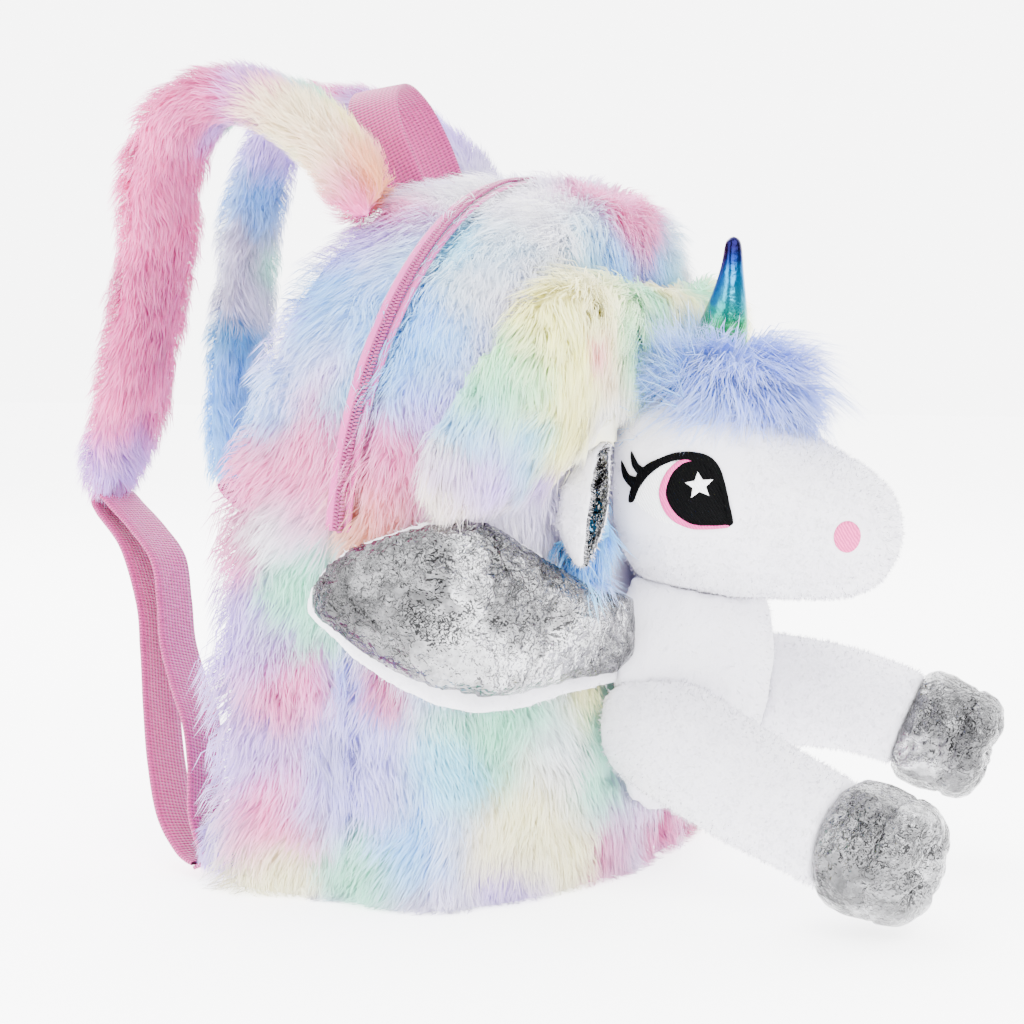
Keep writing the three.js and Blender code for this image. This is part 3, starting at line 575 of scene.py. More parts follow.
# ------------------------------------------------------------------ colour patches (x, y, z, reach, in mm)
PATCHES = [
    ("SKY", -115, -25, 230, 24), ("AQUA", -85, -40, 270, 20), ("LILAC", -125, -40, 205, 16), ("PINK", -130, -30, 180, 18), ("PEACH", -130, -18, 158, 15),
    ("LILAC", -80, 15, 280, 18), ("SKY", -100, 20, 250, 18), ("PINK", -130, 12, 185, 22), ("ROSE", -128, -25, 172, 14), ("PINK", -132, -12, 188, 14), ("LILAC", -105, 45, 240, 16), ("SKY", -120, 38, 212, 14),
    ("PINK", -125, 42, 175, 18), ("LILAC", -122, 50, 110, 24), ("MINT", -130, 14, 125, 16), ("PINK", -132, 22, 88, 18), ("PERI", -130, -4, 96, 11),
    ("ROSE", -130, -20, 96, 10), ("LAV", -130, -8, 62, 22), ("PINK", -130, 26, 42, 16), ("SKY", -130, -36, 32, 14), ("MINT", -130, -12, 18, 16),
    ("CREAM", -130, 28, 10, 16), ("AQUA", -125, -5, 205, 12), ("LILAC", -128, 45, 65, 20), ("PINK", -125, 45, 142, 14), ("WHITE", -128, 25, 152, 12),
    ("MINT", -105, -65, 74, 22), ("YELLOW", -62, -86, 86, 12), ("CREAM", -92, -72, 36, 20), ("LILAC", -98, -72, 8, 11), ("ROSE", -45, -92, 8, 14),
    ("PINK", 0, -96, 10, 16), ("WHITE", -62, -66, 280, 24), ("PINK", -10, -70, 284, 16), ("AQUA", -45, -84, 262, 18), ("SKY", -15, -88, 262, 16), ("PINK", 0, -96, 246, 18), ("WHITE", -40, -30, 296, 22), ("PINK", -60, 5, 292, 16),
    ("CREAM", -85, -76, 110, 20), ("MINT", -50, -90, 60, 20), ("WHITE", -110, -60, 140, 18), ("WHITE", -90, -50, 255, 14),
    ("SKY", -118, -56, 110, 14), ("WHITE", -85, -78, 60, 16), ("AQUA", -120, -52, 60, 14), ("CREAM", -70, -84, 14, 14),
]
MANE_PATCHES = [
    ("YELLOW", -100, -92, 232, 20), ("MINT", -118, -72, 220, 16), ("YELLOW", -98, -92, 202, 15), ("AQUA", -112, -84, 190, 12), ("LILAC", -125, -72, 180, 16),
    ("PINK", -72, -100, 228, 9), ("CREAM", -80, -95, 250, 14), ("SKY", -128, -65, 205, 12), ("LILAC", -95, -88, 175, 12), ("WHITE", -60, -96, 205, 14),
    ("MINT", -30, -95, 235, 20), ("CREAM", 0, -98, 250, 20), ("SKY", 30, -98, 235, 18),
]
STRAP_PATCHES = [
    ("PINK", -70, 115, 330, 18), ("ROSE", -70, 92, 338, 13), ("LILAC", -60, 72, 338, 16), ("MINT", -50, 54, 330, 14), ("CREAM", -75, 44, 310, 18),
    ("PEACH", -55, 20, 296, 13), ("PINK", -70, 130, 288, 22), ("ROSE", -70, 137, 240, 22), ("PINK", -70, 143, 205, 18), ("LILAC", -65, 152, 178, 15), ("YELLOW", -50, 34, 322, 12),
    ("MINT", -40, 95, 325, 9), ("LILAC", -58, 105, 325, 10),
]
FAR_PATCHES = [
    ("BLUE", 50, 150, 305, 16), ("MINT", 62, 165, 275, 14), ("GREY", 50, 160, 265, 18), ("BLUE", 50, 165, 205, 20), ("TEAL", 50, 162, 232, 14),
    ("LILAC", 55, 140, 330, 20), ("LILAC", 58, 60, 325, 30), ("PINK", 60, 100, 340, 24), ("SKY", 58, 170, 178, 18), ("GREY", 60, 162, 290, 12),
]
LOCK_PATCHES = [("TEAL", -80, -85, 165, 14), ("SKY", -68, -90, 148, 12), ("LILAC", -58, -92, 128, 12), ("BLUE", -75, -88, 155, 12)]
FORELOCK_PATCHES = [("SKY", -20, -82, 212, 32), ("BLUE", -35, -100, 205, 18), ("PERI", -20, -128, 208, 24), ("PERI", 0, -150, 205, 22), ("LILAC", 10, -140, 218, 12)]


def tint(patches, base="LILAC", mirror=True, base_weight=0.08, wobble=8):
    xyz = np.array([p[1:4] for p in patches], float)
    reach = np.array([p[4] for p in patches], float)
    col = np.array([PAL[p[0]] for p in patches])

    def at(P):
        Q = np.array(P, float)
        if mirror:
            Q[:, 0] = -np.abs(Q[:, 0])
        Q = Q + wobble * np.stack([noise(P, 22, 1.0), noise(P, 22, 2.0), noise(P, 22, 3.0)], -1) + 4 * np.stack([noise(P, 8, 4.0), noise(P, 8, 5.0), noise(P, 8, 6.0)], -1)
        d = np.linalg.norm(Q[:, None, :] - xyz[None], axis=2) / reach[None]
        w = np.exp(-1.5 * d ** 2)
        w0 = base_weight
        c = (w @ col + w0 * PAL[base]) / (w.sum(1, keepdims=True) + w0)
        return c
    return at


def down(P, N):
    return np.tile([0, 0, -1.0], (len(P), 1)) + N * 0.2


def done(o, slot, *replaced, padded=None, with_pieces=None):
    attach(o, "root")
    if replaced:
        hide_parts(*replaced)
    return o


SC = 1.0


def count(n):
    return int(n * SC)


# ------------------------------------------------------------------ bag skins and fur
INSET = 8.0
ss = np.linspace(0, 1, 121)
ctr = lambda m: np.stack([m[:, 0] * 0, -10 + nod(m[:, 2]), np.minimum(m[:, 2], 140)], -1)

G = []
for y in np.linspace(SEAM_Y + 0.5, ZIP_Y - 6.8, 12):
    G.append(on_bag(ss, y, INSET))
rear = [on_bag(ss, y, INSET) for y in np.linspace(ZIP_Y + 6.8, BACK_Y - 4, 14)]
lowmid = [on_bag(ss, y, INSET + 1.5) for y in np.linspace(ZIP_Y - 6.8, ZIP_Y + 6.8, 4)]
lip = [on_front(ss, b, INSET + 4) for b in (0.16, 0.08)]
Gall = np.stack(lip + G + lowmid + rear, 0)
bag_tint = tint(PATCHES, base="PALE")
gusset = grid_mesh("gusset_skin", Gall, SKIN["bag"], out_from=ctr)
lumpy(gusset, seam=True)


def rear_fill(v):
    return np.clip((v[:, 1] - nod(v[:, 2]) - 15) / 30, 0, 1) * np.clip((200 - v[:, 2]) / 90, 0, 1)


v, nn, _ = arrays(gusset)
set_verts(gusset, v + nn * (5.0 * rear_fill(v))[:, None])
color_verts(gusset, bag_tint)
done(gusset, "fur_gusset", "gusset")
bs = 1 - (1 - np.linspace(0, 0.985, 26)) ** 1.6
front = grid_mesh("front_skin", np.stack([on_bag(ss, SEAM_Y + 7, INSET + 3.5), on_bag(ss, SEAM_Y + 2.5, INSET + 0.6)] + [on_front(ss, b, INSET) for b in bs], 0), SKIN["bag"], out_from=lambda m: np.stack([m[:, 0] * 0, m[:, 1] * 0 + 20, m[:, 2]], -1))
lumpy(front, seam=True)
color_verts(front, bag_tint)
done(front, "fur_front", "front_panel")
back = grid_mesh("back_skin", np.stack([on_back(ss, b, 6.0) for b in np.linspace(0, 1, 22)], 0), SKIN["bag"], out_from=lambda m: np.stack([m[:, 0], m[:, 1] * 0 - 60, m[:, 2]], -1))
lumpy(back)
v, nn, _ = arrays(back)
set_verts(back, v + nn * (5.0 * np.clip((190 - v[:, 2]) / 90, 0, 1))[:, None])
color_verts(back, bag_tint)
done(back, "fur_back", "back_panel")
base = soften("base_panel", "base_skin", SKIN["bag"], voxel=4.5, rounds=1)
color_verts(base, bag_tint)
done(base, "fur_base", "base_panel")

rng = np.random.default_rng(11)


def zip_clear(P, N):
    y = P[:, 1] - nod(P[:, 2])
    near = (y - ZIP_Y > -3.4) & (y - ZIP_Y < 6.6) & (P[:, 2] > ZIP_LOW - 8)
    return np.where(near, 0.0, 1.0)


def gusset_comb(P, N):
    d = down(P, N)
    y = P[:, 1] - nod(P[:, 2])
    # at the zip the pile leans away from it on the rear side and slightly over it on the front
    high = np.clip((P[:, 2] - 240) / 50, 0, 1)
    d[:, 1] += np.where(y > ZIP_Y, 0.5, 0.12) * (0.4 + high) * np.where(P[:, 2] > ZIP_LOW - 10, 1, 0.2)
    d[:, 0] += np.sign(P[:, 0]) * high * 0.8
    return d


Pg, Ng = scatter(gusset, count(53000), rng, keep=lambda m, n: zip_clear(m, n))
k = rear_fill(Pg)[:, None]
f = fur("gusset_fur", Pg, Ng, gusset_comb, bag_tint, rng, length=15 + 4 * k, width=0.62, stand=0.8 + 0.5 * k, mat=FUR)
done(f, "fur_gusset")
def front_comb(P, N):
    d = down(P, N)
    high = np.clip((P[:, 2] - 250) / 40, 0, 1)
    d[:, 1] -= 0.8 * high
    return d
Pf, Nf = scatter(front, count(36000), rng, keep=lambda m, n: np.where((np.abs(m[:, 0]) < 52) & (m[:, 2] > 45) & (m[:, 2] < 205) & (m[:, 1] < -60), 0.0, 1.0))
f = fur("front_fur", Pf, Nf, front_comb, bag_tint, rng, length=15, width=0.62, mat=FUR)
done(f, "fur_front")
Pb, Nb = scatter(back, count(13000), rng)
f = fur("back_fur", Pb, Nb, down, bag_tint, rng, length=15, width=1.2, mat=FUR)
done(f, "fur_back")

# ------------------------------------------------------------------ straps, tabs, mane, lock, forelock
def furry(node_name, slot, skin_mat, tint_fn, n, comb, inset=5.0, voxel=2.5, rounds=8, keep=None, form=None, **kw):
    o = soften(node_name, node_name + "_skin", skin_mat, voxel=voxel, rounds=rounds)
    v, nn, _ = arrays(o)
    v = v - nn * inset
    set_verts(o, v if form is None else form(v))
    color_verts(o, tint_fn)
    done(o, slot, node_name)
    P, N = scatter(o, count(n), rng, keep=keep)
    f = fur(node_name + "_fur", P, N, comb, tint_fn, rng, mat=FUR, **kw)
    done(f, slot)
    return o, f


def strap_comb(path):
    path = np.array(path, float)
    seg = unit(np.diff(path, axis=0))
    mid = (path[1:] + path[:-1]) / 2

    def comb(P, N):
        d = np.linalg.norm(P[:, None, :] - mid[None], axis=2)
        w = np.exp(-(d / 22) ** 2) + 1e-9
        return (w @ seg) / w.sum(1, keepdims=True) + np.array([0, 0, -0.25])
    return comb


NEAR_PATH = [(-56, 12, 276), (-58, 25, 292), (-58, 36, 309), (-58, 56, 325), (-58, 81, 335), (-58, 105, 334), (-58, 121, 320), (-58, 128.5, 300), (-58, 130, 277), (-58, 135, 246), (-58, 144, 210), (-59, 153, 182), (-60, 159, 158)]
FAR_PATH = [(56, 12, 276), (58, 25, 292), (58, 38, 311), (58, 60, 329), (58, 88, 340), (58, 118, 342), (58, 140, 330), (58, 151, 308), (58, 157, 280), (58, 160, 248), (58, 166, 210), (59, 170, 182), (60, 172, 158)]
furry("strap_left", "fur_strap_left", SKIN["strap"], tint(STRAP_PATCHES, "PINK", mirror=False), 28500, strap_comb(NEAR_PATH), inset=1.5, voxel=3.2,  length=12.5, width=0.55, stand=0.85, frost=0.22)
furry("strap_right", "fur_strap_right", SKIN["far"], tint(FAR_PATCHES, "GREY", mirror=False), 18500, strap_comb(FAR_PATH), inset=2.5, voxel=3.2,  length=13, width=0.65, stand=0.75, frost=0.15)
tab_tint = tint([("LILAC", -110, 60, 15, 20)], "LILAC")
for s in ("left", "right"):
    furry("strap_tab_" + s, "fur_tab", SKIN["bag"], tab_tint, 2600, down, inset=4.0, voxel=2.0, rounds=4, length=11, width=0.6)


EAR_SHIFT = 2.0


def clear_of_ear(P, mid, tip):
    """keeps strands from crossing in front of the ears"""
    ok = np.ones(len(P), bool)
    for q in (P, mid, tip):
        x, y, z = np.abs(q[:, 0]), q[:, 1], q[:, 2]
        # along the sight line to the ear's own plane
        ear_x = 48 + 32 * np.clip((187 - z) / 50, 0, 1)
        yy = y + (x - ear_x) * 0.488
        inside = (x > ear_x + 1) & (yy > -101) & (yy < -80) & (z > 131) & (z < 190)
        ok &= ~inside
    return ok


def mane_comb(P, N):
    d = down(P, N)
    d[:, 0] += np.sign(P[:, 0]) * 0.5
    d[:, 1] += 0.15
    return d


furry("mane", "fur_mane", SKIN["mane"], tint(MANE_PATCHES, "CREAM"), 31000, mane_comb, inset=6.0, voxel=3.6, rounds=6, length=20, width=0.65, stand=0.62, clump=80, tip_pull=0.5, keep=lambda m, n: np.where(n[:, 1] < 0.55, 1.0, 0.05), clear=clear_of_ear)
for s in ("left", "right"):
    furry("mane_lock_" + s, "fur_lock", SKIN["lock"], tint(LOCK_PATCHES, "SKY"), 4500, down, inset=7.0, voxel=2.0, rounds=5, length=22, width=0.6, stand=0.4, clump=80, clear=clear_of_ear)

# ------------------------------------------------------------------ white plush forms
def plush(node_name, voxel=1.8, rounds=10, slot="white_plush"):
    o = soften(node_name, node_name + "_plush", WHITE_PLUSH, voxel=voxel, rounds=rounds)
    v, nn, _ = arrays(o)
    v = v + nn * (0.5 * noise(v, 24, 2.2) + 0.25 * noise(v, 9, 4.1))[:, None]
    set_verts(o, v)
    done(o, slot, node_name)
    return o


head = plush("head", voxel=2.2, rounds=12)
chest = plush("chest", voxel=2.2, rounds=10)
legs = {s: plush("leg_" + s, voxel=2.0, rounds=8) for s in ("left", "right")}
ears = {s: plush("ear_" + s, voxel=1.3, rounds=4) for s in ("left", "right")}
for s, k in (("left", -1), ("right", 1)):
    v, _, _ = arrays(ears[s])
    set_verts(ears[s], v + np.array([k * EAR_SHIFT, 0, 0]))
backs = {s: plush("wing_backing_" + s, voxel=1.7, rounds=3) for s in ("left", "right")}

def off_face(m, n):
    eye = (np.abs(m[:, 0]) > 20) & (m[:, 1] > -143) & (m[:, 1] < -93) & (m[:, 2] > 149) & (m[:, 2] < 183)
    nos = (np.abs(m[:, 0]) > 8) & (((m[:, 1] + 183.8) / 6.5) ** 2 + ((m[:, 2] - 148.4) / 8.5) ** 2 < 1)
    return np.where(eye | nos, 0.0, 1.0)


for o, n in ((head, 20000), (chest, 6000), (legs["left"], 10000), (legs["right"], 7000), (ears["left"], 3000), (ears["right"], 2000), (backs["left"], 3500), (backs["right"], 2500)):
    f = fuzz(o.name.replace("_plush", "_pile"), o, count(n), rng, FUZZ, keep=off_face if o is head else None)
    done(f, "white_plush")

# ------------------------------------------------------------------ foil forms
def foil(node_name, voxel, rounds, amp):
    o = soften(node_name, node_name + "_foil", FOIL, voxel=voxel, rounds=rounds)
    v, nn, _ = arrays(o)
    if node_name.startswith("hoof"):
        ax = np.array([-0.19, -0.95, -0.2] if node_name.endswith("left") else [0.12, -0.93, -0.34])
        ax /= np.linalg.norm(ax)
        c = v.mean(0)
        q = v - c
        along = q @ ax
        flat_q = q - along[:, None] * ax
        e1 = unit(np.cross(ax, [0, 0, 1.0]))
        e2 = np.cross(ax, e1)
        th = np.arctan2(flat_q @ e2, flat_q @ e1)
        rad = np.linalg.norm(flat_q, axis=1)
        sole = np.clip((along - 9) / 6, 0, 1)
        fold = np.sin(7 * th + 1.6 * noise(v, 9, 3.3)) + 0.6 * np.sin(13 * th + 2 * noise(v, 7, 5.1))
        v = c + along[:, None] * ax + flat_q * (1 - 0.11 * np.clip((along + 14) / 16, 0, 1))[:, None]
        v = v + ax * ((2.3 * fold * np.clip(1 - rad / 27, 0, 1) - 4.0 * np.exp(-(rad / 7) ** 2)) * sole)[:, None]
        cap = np.exp(-((along - 5) / 1.2) ** 2)
        v = v - unit(flat_q) * (1.5 * cap)[:, None]
    h = amp * (0.9 * noise(v, 13, 1.1) + 0.5 * (1 - np.abs(noise(v, 6.5, 2.7)) * 2) + 0.3 * (1 - np.abs(noise(v, 3.4, 6.1)) * 2))
    set_verts(o, v + nn * h[:, None])
    done(o, "silver_foil", node_name)
    return o


for s in ("left", "right"):
    foil("wing_" + s, 1.7, 3, 0.75)
    foil("hoof_" + s, 1.4, 4, 0.5)
    o = soften("ear_lining_" + s, "ear_lining_%s_foil" % s, FOIL, voxel=0.9, rounds=2)
    v, nn, _ = arrays(o)
    set_verts(o, v + nn * 0.5 + np.array([EAR_SHIFT * (-1 if s == "left" else 1), 0, 0]))
    done(o, "silver_foil", "ear_lining_" + s)

# ------------------------------------------------------------------ horn
HORN = [(0, -113.5, 204, 12.8), (0, -116, 218, 12.0), (0, -119.5, 235, 9.8), (0, -122, 249, 7.0), (0, -123.2, 260, 4.7), (0, -123.4, 268.5, 3.2), (0, -123.4, 271.0, 1.6)]


def horn_material():
    m, nt, b = material("horn_foil")
    tc = node(nt, "ShaderNodeTexCoord")
    sep = node(nt, "ShaderNodeSeparateXYZ")
    mr = node(nt, "ShaderNodeMapRange")
    mr.inputs["From Min"].default_value = 0.214
    mr.inputs["From Max"].default_value = 0.271
    nz = node(nt, "ShaderNodeTexNoise", Scale=160, Detail=3)
    ad = node(nt, "ShaderNodeMath")
    ad.operation = "MULTIPLY_ADD"
    ad.inputs[1].default_value = 0.16
    ramp = node(nt, "ShaderNodeValToRGB")
    e = ramp.color_ramp.elements
    e[0].position, e[0].color = 0.0, (*srgb("#6f6a1c"), 1)
    e[1].position, e[1].color = 1.0, (*srgb("#15123a"), 1)
    for p, c in ((0.2, "#3f7d22"), (0.42, "#12804a"), (0.62, "#0d8298"), (0.8, "#0f6fa4"), (0.92, "#132a6a")):
        x = e.new(p)
        x.color = (*srgb(c), 1)
    bump = node(nt, "ShaderNodeBump", Strength=0.5, Distance=0.001)
    rid = node(nt, "ShaderNodeTexNoise", Scale=240, Detail=4)
    nt.links.new(tc.outputs["Object"], sep.inputs["Vector"])
    nt.links.new(tc.outputs["Object"], nz.inputs["Vector"])
    nt.links.new(tc.outputs["Object"], rid.inputs["Vector"])
    nt.links.new(sep.outputs["Z"], mr.inputs["Value"])
    nt.links.new(nz.outputs["Fac"], ad.inputs[0])
    nt.links.new(mr.outputs["Result"], ad.inputs[2])
    nt.links.new(ad.outputs["Value"], ramp.inputs["Fac"])
    nt.links.new(ramp.outputs["Color"], b.inputs["Base Color"])
    nt.links.new(rid.outputs["Fac"], bump.inputs["Height"])
    nt.links.new(bump.outputs["Normal"], b.inputs["Normal"])
    b.inputs["Metallic"].default_value = 1.0
    b.inputs["Roughness"].default_value = 0.22
    return m


t = np.linspace(0, 1, 60)
H = smooth_table(HORN, t)
ang = np.linspace(0, 2 * np.pi, 48, endpoint=False)
axis = unit(np.gradient(H[:, :3], axis=0))
sx = unit(np.cross(axis, [0, 1.0, 0.2]))
sy = np.cross(axis, sx)
twist = t[:, None] * 5.0
r = H[:, 3][:, None] * (1 + 0.05 * np.cos(2 * (ang[None] + twist)) + 0.02 * np.cos(5 * ang[None] + 9 * t[:, None]))
Ph = H[:, None, :3] + sx[:, None] * (np.cos(ang)[None] * r)[..., None] + sy[:, None] * (np.sin(ang)[None] * r)[..., None]
Ph = np.concatenate([Ph, np.repeat(H[-1:, None, :3] + axis[-1:, None] * 0.6, 48, 1)], 0)
horn = grid_mesh("horn_foil_form", Ph, horn_material(), wrap_v=True, out_from=lambda m: np.stack([m[:, 0] * 0, m[:, 1] * 0 - 120, m[:, 2]], -1))
done(horn, "horn_foil", "horn")


def forelock_comb(P, N):
    d = P - np.array([0, -112, 205.0])
    d[:, 2] *= 0.2
    d = unit(d)
    d[:, 2] += np.where(P[:, 1] > -118, 0.55, -0.35)
    d[:, 1] += np.where(P[:, 1] > -130, 0.3, 0.1)
    return d


def forelock_form(v):
    q = v - np.array([0, -102, 200.0])
    return np.array([0, -102, 200.0]) + q * np.stack([0 * q[:, 0] + 0.86, np.where(q[:, 1] < 0, 0.82, 1.0), 0 * q[:, 0] + 0.78], -1)


furry("forelock", "fur_forelock", SKIN["forelock"], tint(FORELOCK_PATCHES, "PERI", mirror=False), 15500, forelock_comb, inset=7.0, voxel=2.2, rounds=6, form=forelock_form, length=33, width=0.5, stand=0.95, clump=60, spread=0.42, curl=1.5, tip_pull=0.55, frost=0.5)

# ------------------------------------------------------------------ webbing
WEB_LOOP = [(-108, 71, 5.5), (-105, 82, 9.5), (-100, 95, 22), (-92, 106, 43), (-83, 115, 67), (-76, 121, 89), (-70, 127, 110), (-64, 140, 134), (-60.5, 156, 149),
            (-60, 159.5, 155), (-60, 155, 157.5), (-61, 147, 151.5), (-63, 135, 142), (-67, 121.5, 129), (-71, 115.5, 111), (-76, 110, 93.5), (-82, 100.5, 77.5), (-90, 89, 62), (-97, 82, 45), (-104, 77, 27), (-108, 70.5, 15.5), (-109, 65.5, 10), (-108, 71, 5.5)]


def ribbon(name, path, side, mat, width=25.0, thick=1.6, closed=False, steps=None, wrinkle=0.35):
    path = np.array(path, float)
    L = np.r_[0, np.cumsum(np.linalg.norm(np.diff(path, axis=0), axis=1))]
    n = steps or int(L[-1] / 1.6)
    C = smooth_table(path, np.interp(np.linspace(0, L[-1], n), L, np.linspace(0, 1, len(L))))
    T = unit(np.gradient(C, axis=0))
    W = np.array(side, float) - T * (T @ np.array(side, float))[:, None]
    W = unit(W)
    Hn = unit(np.cross(T, W))
    run = np.r_[0, np.cumsum(np.linalg.norm(np.diff(C, axis=0), axis=1))]
    us = np.array([-1, -0.97, -0.6, -0.2, 0.2, 0.6, 0.97, 1, 0.97, 0.6, 0.2, -0.2, -0.6, -0.97]) * width / 2
    hs = np.array([0, 1, 1, 1, 1, 1, 1, 0, -1, -1, -1, -1, -1, -1]) * thick / 2
    cup = wrinkle * np.sin(run / 17.0)[:, None] * ((us / (width / 2)) ** 2)[None]
    P = C[:, None] + W[:, None] * us[None, :, None] + Hn[:, None] * (hs[None] + cup)[..., None]
    o = grid_mesh(name, P, mat, wrap_v=True, out_from=lambda m: m * 0 + m.mean(0))
    me = o.data
    uv = me.uv_layers.new(name="UVMap")
    vi = np.empty(len(me.loops), np.int32)
    me.loops.foreach_get("vertex_index", vi)
    uu = np.tile(us / 10, len(C))[vi]
    vv = np.repeat(run / 10, len(us))[vi]
    uv.data.foreach_set("uv", np.c_[uu, vv].astype(np.float32).ravel())
    bpy.context.view_layer.objects.active = o
    fix_normals(o)
    return o


def fix_normals(o):
    import bmesh
    bm = bmesh.new()
    bm.from_mesh(o.data)
    bmesh.ops.recalc_face_normals(bm, faces=bm.faces)
    bm.to_mesh(o.data)
    bm.free()


webs = {}
for s, k in (("left", 1), ("right", -1)):
    pts = [(k * x, y + (0 if k == 1 else 12 * min(max((z - 20) / 120, 0), 1)), z) for x, y, z in WEB_LOOP]
    w = ribbon("webbing_%s_ribbon" % s, pts, (1, 0, 0), WEB)
    done(w, "webbing", "webbing_" + s)
    webs[s] = w
LOOP = [(-21, 21, 283), (-21.5, 28, 300), (-22, 36, 318), (-17, 42.5, 333), (-6, 45.5, 341), (6, 45.5, 341), (17, 43, 333), (22, 37, 318), (21.5, 29, 300), (21, 21, 283)]
loop = ribbon("carry_loop_ribbon", LOOP, (0, 1, -0.12), WEB, wrinkle=0.2)
done(loop, "webbing", "carry_loop")

# ------------------------------------------------------------------ zip
def zip_path(n, inset):
    s = np.linspace(0, 1, 2400)
    P = on_bag(s, ZIP_Y, inset)
    keep = P[:, 2] > ZIP_LOW + 1
    P = P[keep]
    L = np.r_[0, np.cumsum(np.linalg.norm(np.diff(P, axis=0), axis=1))]
    u = np.linspace(0, L[-1], n)
    C = np.stack([np.interp(u, L, P[:, i]) for i in range(3)], -1)
    T = unit(np.gradient(C, axis=0))
    Y = np.array([0, 1.0, 0])
    Y = unit(Y - T * (T @ Y)[:, None])
    O = np.cross(T, Y)
    O = np.where((O @ np.array([0, 0, 1.0]))[:, None] < 0, -O, O)
    bad = np.sum(O * (C - np.array([0, -20, 150.0])), 1) < 0
    O[bad] *= -1
    return C, T, Y, O, u


def zip_band(name, y0, y1, lift, thick, mat, slot, node_name):
    C, T, Y, O, u = zip_path(220, 4.6)
    ys = np.linspace(y0, y1, 5)
    top = [C + Y * y + O * lift for y in ys]
    bot = [C + Y * y + O * (lift - thick) for y in ys[::-1]]
    P = np.stack(top + bot, 1)
    o = grid_mesh(name, P, mat, wrap_v=True)
    fix_normals(o)
    return done(o, slot, node_name)


zip_band("zip_tape_rear_band", 1.8, 6.0, 1.2, 1.0, TAPE, "zip_tape", "zipper_tape_rear")
zip_band("zip_tape_front_band", -5.0, -1.8, 0.2, 1.0, TAPE, "zip_tape", "zipper_tape_front")
C, T, Y, O, u = zip_path(2, 3.0)
length = u[-1]
nt_ = int(length / 1.5)
C, T, Y, O, u = zip_path(nt_, 4.6)
V, F = [], []
box = np.array([[-1, -1, -1], [1, -1, -1], [1, 1, -1], [-1, 1, -1], [-1, -1, 1], [1, -1, 1], [1, 1, 1], [-1, 1, 1]], float)
bf = np.array([[0, 3, 2, 1], [4, 5, 6, 7], [0, 1, 5, 4], [1, 2, 6, 5], [2, 3, 7, 6], [3, 0, 4, 7]])
for row, off in ((-1, 0.0), (1, 0.75)):
    for i in range(nt_ - 1):
        c = C[i] + T[i] * off + Y[i] * row * 1.15 + O[i] * 1.6
        b = box * np.array([0.52, 1.25, 0.55])
        b[:, :2] *= 1 - 0.15 * (b[:, 2:3] > 0)
        V.append(c + b[:, :1] * T[i] + b[:, 1:2] * (Y[i] + 0.15 * row * T[i]) + b[:, 2:] * O[i])
        F.append(bf + 8 * (len(V) - 1))
coil = mesh_from("zip_coil_teeth", np.concatenate(V), np.concatenate(F), COIL, smooth=False)
fix_normals(coil)
done(coil, "zip_coil", "zipper_coil")
slid = soften("zipper_slider", "zip_slider_form", COIL, voxel=0.7, rounds=2)
done(slid, "zip_slider", "zipper_slider")
pul = soften("zipper_pull", "zip_pull_form", COIL, voxel=0.7, rounds=2)
done(pul, "zip_slider", "zipper_pull")

# ------------------------------------------------------------------ embroidery
EYE = {
    "pupil": [(-115.0, 166), (-116.9, 172.8), (-121.0, 177.6), (-126, 179.4), (-131.6, 178.2), (-135.8, 172.4), (-138.2, 163.5), (-140.2, 153.0), (-134, 152.4), (-126, 152.8), (-120.2, 156.0), (-116.4, 161)],
    "ring": [(-112.2, 165), (-113.2, 170.5), (-116, 175.4), (-120, 178.8), (-125, 179.6), (-125.6, 178.9), (-121.1, 177.3), (-117, 172.9), (-115.1, 166), (-116.6, 160.6), (-120.3, 156), (-126, 153), (-134, 152.6), (-138.6, 152.9), (-138.8, 151.8), (-131, 151), (-124.6, 151.3), (-118.4, 153.8), (-114.2, 158.2)],
    "lid": [(-98.0, 162.0), (-100.8, 170.8), (-105.6, 176.4), (-112.4, 179.8), (-119, 182), (-126, 182), (-131.4, 180.2), (-135.6, 175.4), (-138.4, 167), (-141, 154.6), (-139.0, 154.2), (-136.8, 165.0), (-133.8, 172.2), (-129.8, 176.8), (-125.2, 178.6), (-119.2, 178.8), (-113.2, 176.6), (-107.6, 172.4), (-103.4, 167.2), (-100.6, 161.8)],
    "lash_a": [(-102.6, 171.0), (-98.4, 172.6), (-94.2, 178.2), (-94.8, 172.2), (-98.4, 168.0), (-102.0, 166.2)],
    "lash_b": [(-105.4, 175.0), (-102.4, 177.2), (-98.8, 182.2), (-99.2, 176.8), (-102.0, 173.0), (-105.0, 171.4)],
}
star = []
for i in range(10):
    rr = 5.6 * 0.46 if i % 2 else 5.6
    a = math.pi / 2 + i * math.pi / 5 - 0.12
    star.append((-128.2 + rr * math.cos(a), 168.8 + rr * math.sin(a)))
nost = [(-183.8 + 4.7 * math.cos(a), 148.4 + 6.4 * math.sin(a)) for a in np.linspace(0, 2 * math.pi, 24, endpoint=False)]

bpy.context.view_layer.update()
hv, hn, ht = arrays(head)
HEAD_TREE = bvhtree.BVHTree.FromPolygons([tuple(p) for p in hv], [tuple(t) for t in ht])


